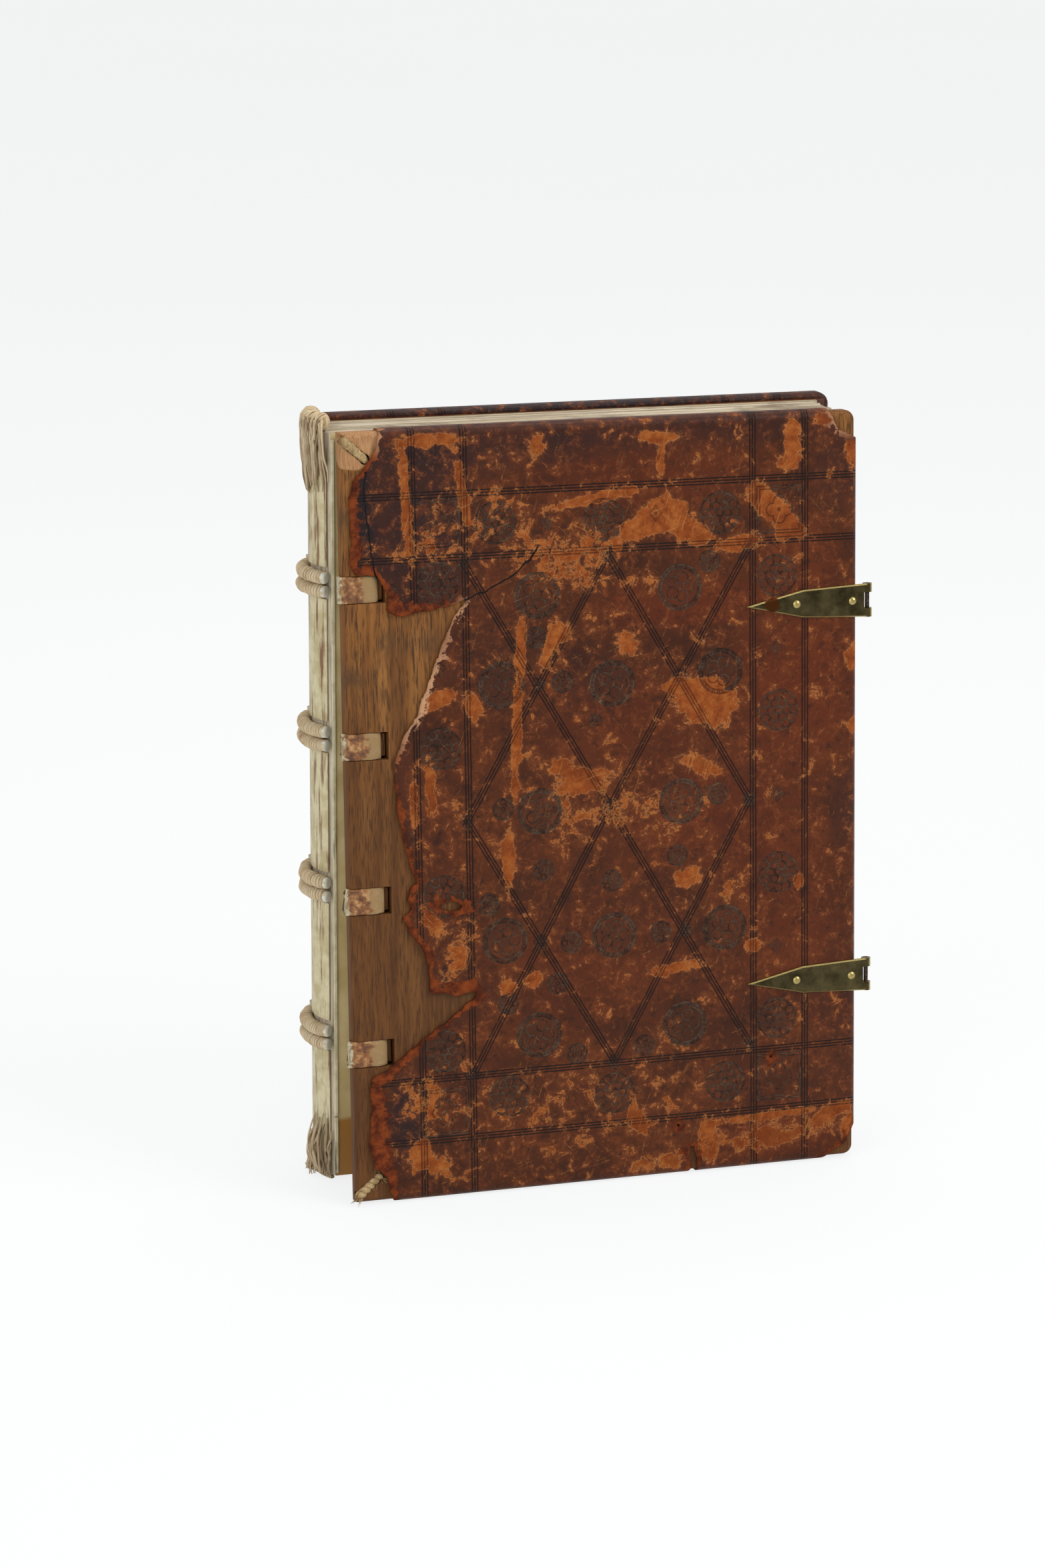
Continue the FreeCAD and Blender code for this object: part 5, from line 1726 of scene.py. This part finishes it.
@dataclass
class TailEndband:
    """What is left of the tail endband: a thin crushed roll, a frayed knot near the floor, and slack tie-downs."""

    spine: Spine
    roll_turns: float = 20.0
    roll_path_radius: float = 18.95
    roll_height: float = 1.25
    slack_count: int = 32
    curl_count: int = 44

    def roll(self) -> Shell:
        """The crushed roll under the leaves, a thin ringed tube along the arc.

        Returns:
            The closed tube.
        """
        share = np.linspace(0.0, 1.0, 121)
        crown = np.abs(np.sin(math.pi * self.roll_turns * share))
        path = self.spine.around(np.full(121, self.roll_path_radius), (share - 0.5) * math.radians(72.0),
                                 np.full(121, self.roll_height))
        # painted shade in the furrows between turns of thread
        return tube(path, 0.8 + 0.25 * crown, 10, furrow=(1.0 - crown) ** 2)

    def threads(self) -> list[Shell]:
        """Slack tie-downs on the spine, as thin tubes from the tail upwards, some bowed out in loops.

        Returns:
            The tubes.
        """
        random = np.random.default_rng(31)
        shells = []
        for count in range(self.slack_count):
            start = math.radians(random.uniform(-6.0, 37.0))
            drift = math.radians(random.uniform(-6.0, 6.0))
            length = random.uniform(12.0, 27.0)
            share = np.linspace(0.0, 1.0, 6)
            bow = (2.8 if count % 5 == 0 else random.uniform(0.0, 0.8)) * np.sin(math.pi * share)
            angle = start + drift * share + np.radians(random.normal(0.0, 1.0, 6))
            out = 20.9 + bow + random.uniform(0.0, 0.4)
            path = smooth_path(self.spine.around(out, angle, 2.2 + length * share), 24)
            taper = np.interp(np.linspace(0.0, 1.0, 24), (0.0, 0.8, 1.0), (1.0, 0.9, 0.4))
            radius = random.uniform(0.3, 0.6) * taper
            shells.append(tube(path, radius, 7, furrow=np.full(24, random.uniform(0.0, 0.8))))
        return shells

    def frayed_knot(self) -> list[Shell]:
        """The thread's frayed end: three thick strands twisted together, and short curls that spread near the floor.

        Returns:
            The tubes.
        """
        random = np.random.default_rng(37)
        shells = []
        share = np.linspace(0.0, 1.0, 24)
        for phase in (0.0, 2.1, 4.2):
            out = 21.8 + 1.2 * share + 0.6 * np.cos(5.0 * share + phase)
            path = self.spine.around(out, math.radians(2.0) + 0.03 * np.sin(5.0 * share + phase), 11.0 - 8.6 * share)
            shells.append(tube(path, 0.55 + 0.35 * share, 9, furrow=0.1 + 0.2 * share))
        for _ in range(self.curl_count):
            angle = math.radians(random.normal(2.0, 2.2))
            root = self.spine.around(20.6 + random.uniform(0.0, 1.2), angle, random.uniform(5.0, 10.0))
            middle = self.spine.around(22.0 + random.uniform(-0.6, 1.6), angle + math.radians(random.normal(0.0, 3.0)),
                                       random.uniform(2.6, 6.0))
            tip = self.spine.around(21.8 + random.uniform(-0.8, 2.2), angle + math.radians(random.normal(0.0, 5.0)),
                                    random.uniform(0.6, 3.4))
            path = smooth_path(np.stack([root, middle, tip]), 10)
            shells.append(tube(path, random.uniform(0.2, 0.5) * np.linspace(1.0, 0.5, 10), 6,
                               furrow=np.full(10, random.uniform(0.0, 0.6))))
        return shells

    def build(self, thread: bpy.types.Material) -> bpy.types.Object:
        """Make the tail's threads.

        Args:
            thread: The linen thread.

        Returns:
            The piece.
        """
        made = Shell.joined([self.roll(), *self.threads(), *self.frayed_knot()]).piece("tail_endband", thread, "book")
        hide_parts("tail_endband_threads")
        return made


@dataclass
class Leaves:
    """The sewn leaves, cut a little unevenly and hollow at the fore-edge, rounded and sewn at the spine."""

    spine: Spine
    front_y: float = -2.481
    thickness: float = 26.4
    leaf_count: int = 88
    gathering_count: int = 12
    fore_edge_x: float = 106.322
    hollow: float = 2.0

    def build(self, material: bpy.types.Material) -> bpy.types.Object:
        """Make the leaves as one closed block whose edges are ridged leaf by leaf.

        Each leaf is three loops at its own depth: both faces' edges at the leaf's own size, and one set back into
        the gap to the next. A loop runs from the spine along the head, down the fore-edge, back along the tail and
        up the spine, where it follows the fold of its gathering.

        Args:
            material: The leaves' finish.

        Returns:
            The piece.
        """
        random = np.random.default_rng(3)
        steps = np.arange(self.leaf_count * 3)
        leaf = steps // 3
        inside = (steps % 3 == 2).astype(float)
        share = (leaf + np.array([0.05, 0.75, 0.95])[steps % 3]) / self.leaf_count
        y = self.front_y + self.thickness * share
        gathering = np.floor(share * self.gathering_count)
        fold = np.abs(share * self.gathering_count - gathering - 0.5) * 2.0
        across = np.clip((y - self.spine.middle_y) / (self.thickness / 2.0), -1.0, 1.0)
        bow = np.sqrt((self.spine.radius - 0.25) ** 2 - (y - self.spine.middle_y) ** 2)
        spine_x = self.spine.middle_x - bow + 0.5 * fold ** 2 + 0.15
        drop = random.uniform(0.0, 0.45, self.leaf_count)[leaf] + 0.25 * np.sin(2.4 * gathering) + 0.25
        short = random.uniform(0.0, 0.5, self.leaf_count)[leaf] + 0.25 * np.sin(1.7 * gathering) + 0.25
        short += self.hollow * (1.0 - across ** 2)
        wide, tall = 56, 64
        t_wide, t_tall = np.linspace(0.0, 1.0, wide), np.linspace(0.0, 1.0, tall)
        left, right = spine_x[:, None], (self.fore_edge_x - short)[:, None]
        head, tail = (self.spine.head - drop)[:, None], np.full((len(y), 1), self.spine.tail)
        gap = 0.3 * inside[:, None]
        x = np.concatenate([left + (right - left) * t_wide, np.broadcast_to(right - gap, (len(y), tall)),
                            right + (left - right) * t_wide, np.broadcast_to(left, (len(y), tall))], axis=1)
        z = np.concatenate([np.broadcast_to(head - gap, (len(y), wide)), head + (tail - head) * t_tall,
                            np.broadcast_to(tail + gap, (len(y), wide)), tail + (head - tail) * t_tall], axis=1)
        places = x + z
        wave = 0.12 * wave_noise(places, np.broadcast_to(leaf[:, None] * 3.7, places.shape), 60.0, 41, 3)
        z[:, :wide] -= np.abs(wave[:, :wide])
        x[:, wide:wide + tall] -= np.abs(wave[:, wide:wide + tall])
        points = np.stack([x, np.broadcast_to(y[:, None], x.shape), z], axis=-1)
        made = Shell.grid(points * MM, round_columns=True, capped=True).outward().piece(
            "leaves", material, "book", smooth=False)
        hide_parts("text_block")
        return made


# ---- light, floor and camera


@dataclass
class Studio:
    """A pale seamless floor, soft light from above and both sides, and the camera that took the picture."""

    eye: tuple[float, float, float] = (-0.4673, -1.4890, 0.5866)
    aim_deg: float = 16.5
    pitch_deg: float = 15.24
    roll_deg: float = 0.37
    lens_mm: float = 90.54

    def camera(self) -> None:
        """Set up the camera from its place, its bearing from +Y towards +X, its dip and its roll."""
        aim, dip, roll = (math.radians(angle) for angle in (self.aim_deg, self.pitch_deg, self.roll_deg))
        ahead = Vector((math.cos(dip) * math.sin(aim), math.cos(dip) * math.cos(aim), -math.sin(dip)))
        right = Vector((math.cos(aim), -math.sin(aim), 0.0))
        up = right.cross(ahead)
        side = math.cos(roll) * right + math.sin(roll) * up
        top = math.cos(roll) * up - math.sin(roll) * right
        data = bpy.data.cameras.new("camera")
        data.lens = self.lens_mm
        data.sensor_width = 36.0
        data.clip_end = 100.0
        made = bpy.data.objects.new("camera", data)
        made.matrix_world = Matrix((
            (side.x, top.x, -ahead.x, self.eye[0]), (side.y, top.y, -ahead.y, self.eye[1]),
            (side.z, top.z, -ahead.z, self.eye[2]), (0.0, 0.0, 0.0, 1.0)))
        bpy.context.collection.objects.link(made)
        bpy.context.scene.camera = made

    def lamp(self, name: str, place: tuple[float, float, float], size: float, power: float) -> None:
        """Hang a square soft light that faces the book.

        Args:
            name: The lamp's name.
            place: Where it hangs, in metres.
            size: Its side in metres.
            power: Its power in watts.
        """
        data = bpy.data.lights.new(name, "AREA")
        data.size = size
        data.energy = power
        made = bpy.data.objects.new(name, data)
        made.location = place
        made.rotation_euler = (Vector((0.0, 0.0, 0.15)) - Vector(place)).to_track_quat("-Z", "Y").to_euler()
        bpy.context.collection.objects.link(made)

    def floor(self) -> None:
        """Lay the floor: white paper that shows as white to the eye and in reflections, and keeps soft shadows."""
        recipe = Recipe("white_paper_floor")
        path = recipe.add("LightPath").node.outputs
        seen = recipe.most((path["Is Camera Ray"], path["Is Glossy Ray"], path["Is Transmission Ray"]))
        cloud = recipe.add("TexNoise", {"Scale": 1.5, "Detail": 2.0, "Vector": recipe.add("TexCoord", out="Object")})
        white = recipe.add("ValToRGB", (cloud,), stops=((0.3, "#f0f2f3"), (0.7, "#f4f5f5")))
        paper = recipe.add("BsdfDiffuse", {"Color": white})
        glow = recipe.add("Emission", {"Color": "#fdfefe", "Strength": 1.0})
        share = recipe.add("Math MULTIPLY", (seen, 0.82))
        both = recipe.add("MixShader", (share, paper, glow))
        recipe.add("OutputMaterial", (both,))
        line = np.linspace(-14.0, 14.0, 9)
        x, y = np.meshgrid(line, line)
        index = np.arange(81).reshape(9, 9)
        quads = np.stack([index[:-1, :-1], index[:-1, 1:], index[1:, 1:], index[1:, :-1]], axis=-1).reshape(-1, 4)
        mesh = bpy.data.meshes.new("floor")
        mesh.from_pydata(np.stack([x, y, 0.0 * x], axis=-1).reshape(-1, 3).tolist(), [], quads.tolist())
        mesh.materials.append(recipe.material)
        made = bpy.data.objects.new("floor", mesh)
        bpy.context.collection.objects.link(made)

    def sky(self) -> None:
        """Surround the scene with a dim even white."""
        world = bpy.data.worlds.new("soft_white")
        bpy.context.scene.world = world
        world.use_nodes = True
        world.node_tree.nodes["Background"].inputs["Color"].default_value = srgb("#f4f6f8")
        world.node_tree.nodes["Background"].inputs["Strength"].default_value = 0.55

    def build(self) -> None:
        """Set up the camera, the floor, the surroundings and the lamps."""
        bpy.context.scene.view_settings.view_transform = "Standard"
        self.camera()
        self.floor()
        self.sky()
        self.lamp("key", (1.3, -1.1, 1.5), 1.1, 22.0)
        self.lamp("fill", (-1.5, -1.2, 0.9), 1.3, 12.0)
        self.lamp("top", (0.1, 0.3, 1.9), 1.2, 12.0)


# ---- putting the book together


@dataclass
class Book:
    """The whole book: every sub-assembly and every finish."""

    front: Cover = Cover()
    back: Cover = Cover(body="back_cover", lean_deg=0.0, shift=(-103.5782, 33.919, 0.0))
    spine: Spine = Spine()

    def dress_nodes(self) -> None:
        """Give each solid that stays in view its real material."""
        oak = OakBoard().make()
        tawed = TawedThong().make()
        hemp = HempCord().make()
        parchment = Parchment().make()
        guard = Parchment("parchment_guard", "#d3caa8", "#b9ae89", "#6d6344", 0.55, 0.66).make()
        flyleaf = StainedFlyleaf().make()
        paper = LaidPaper().make()
        brass = CastBrass().make()
        rivet = CastBrass("worn_brass", worn=0.8).make()
        iron = WroughtIron().make()
        rules = (
            ("spine_lining", parchment), ("joint_guard", guard), ("flyleaf", flyleaf), ("pastedown", paper),
            ("wedge", oak), ("rivets", rivet), ("catch_bar", iron), ("catch_plate", brass), ("slip", hemp),
            ("endband_core", hemp), ("thong", tawed), ("board", oak), ("endband_threads", hemp), ("sewing_wrap", hemp),
            ("text_block", paper))
        for node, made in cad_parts.items():
            material = next(material for words, material in rules if words in node)
            made.data.materials.clear()
            made.data.materials.append(material)
            LOG.info("%s: %s", node, material.name)

    def build(self) -> None:
        """Make and dress every piece, in order."""
        self.dress_nodes()
        calf = BlindTooledCalf().make()
        CoverLeather(
            self.front, "front_calf", "front_board_leather", FRONT_WEAR, TORN_EDGE,
            (HEAD_CORNER_WEAR, TAIL_CORNER_WEAR, TAIL_NOTCH), moth_hole=(41.5, 121.6, 4.6, 2.0),
            worm_holes=((137.2, 21.2, 0.9), (178.0, 47.0, 0.8))).build(calf)
        CoverLeather(self.back, "back_calf", "back_board_leather", BACK_WEAR).build(calf)
        pared = FleshedCalf().make()
        TurnIns(self.front, "front_turn_in", 16.5).build(pared)
        TurnIns(self.back, "back_turn_in", 2.2).build(pared)
        hide = BrokenThongHide().make()
        for index, middle in enumerate(self.spine.thong_heights, start=1):
            BrokenThong(self.front, index, middle).build(hide)
        hemp = HempCord("frayed_hemp").make()
        LacedSlip(self.front, "head_slip", "front_head_slip", 315.0, -1.0).build(hemp)
        LacedSlip(self.front, "tail_slip", "front_tail_slip", 0.0, 1.0).build(hemp)
        thread = LinenThread().make()
        core = Parchment("snapped_core", "#d9d5c4", "#c6c1ab", "#9c9478", 0.62, 0.75).make()
        PackedSewing(self.spine).build(thread, core)
        HeadEndband(self.spine).build(thread)
        TailEndband(self.spine).build(thread)
        Leaves(self.spine).build(RagLeaves().make())


def main() -> None:
    """Build the book and the studio round it."""
    logging.basicConfig(level=logging.INFO, format="%(name)s %(message)s")
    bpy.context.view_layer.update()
    Book().build()
    Studio().build()


if __name__ == "__main__":
    main()
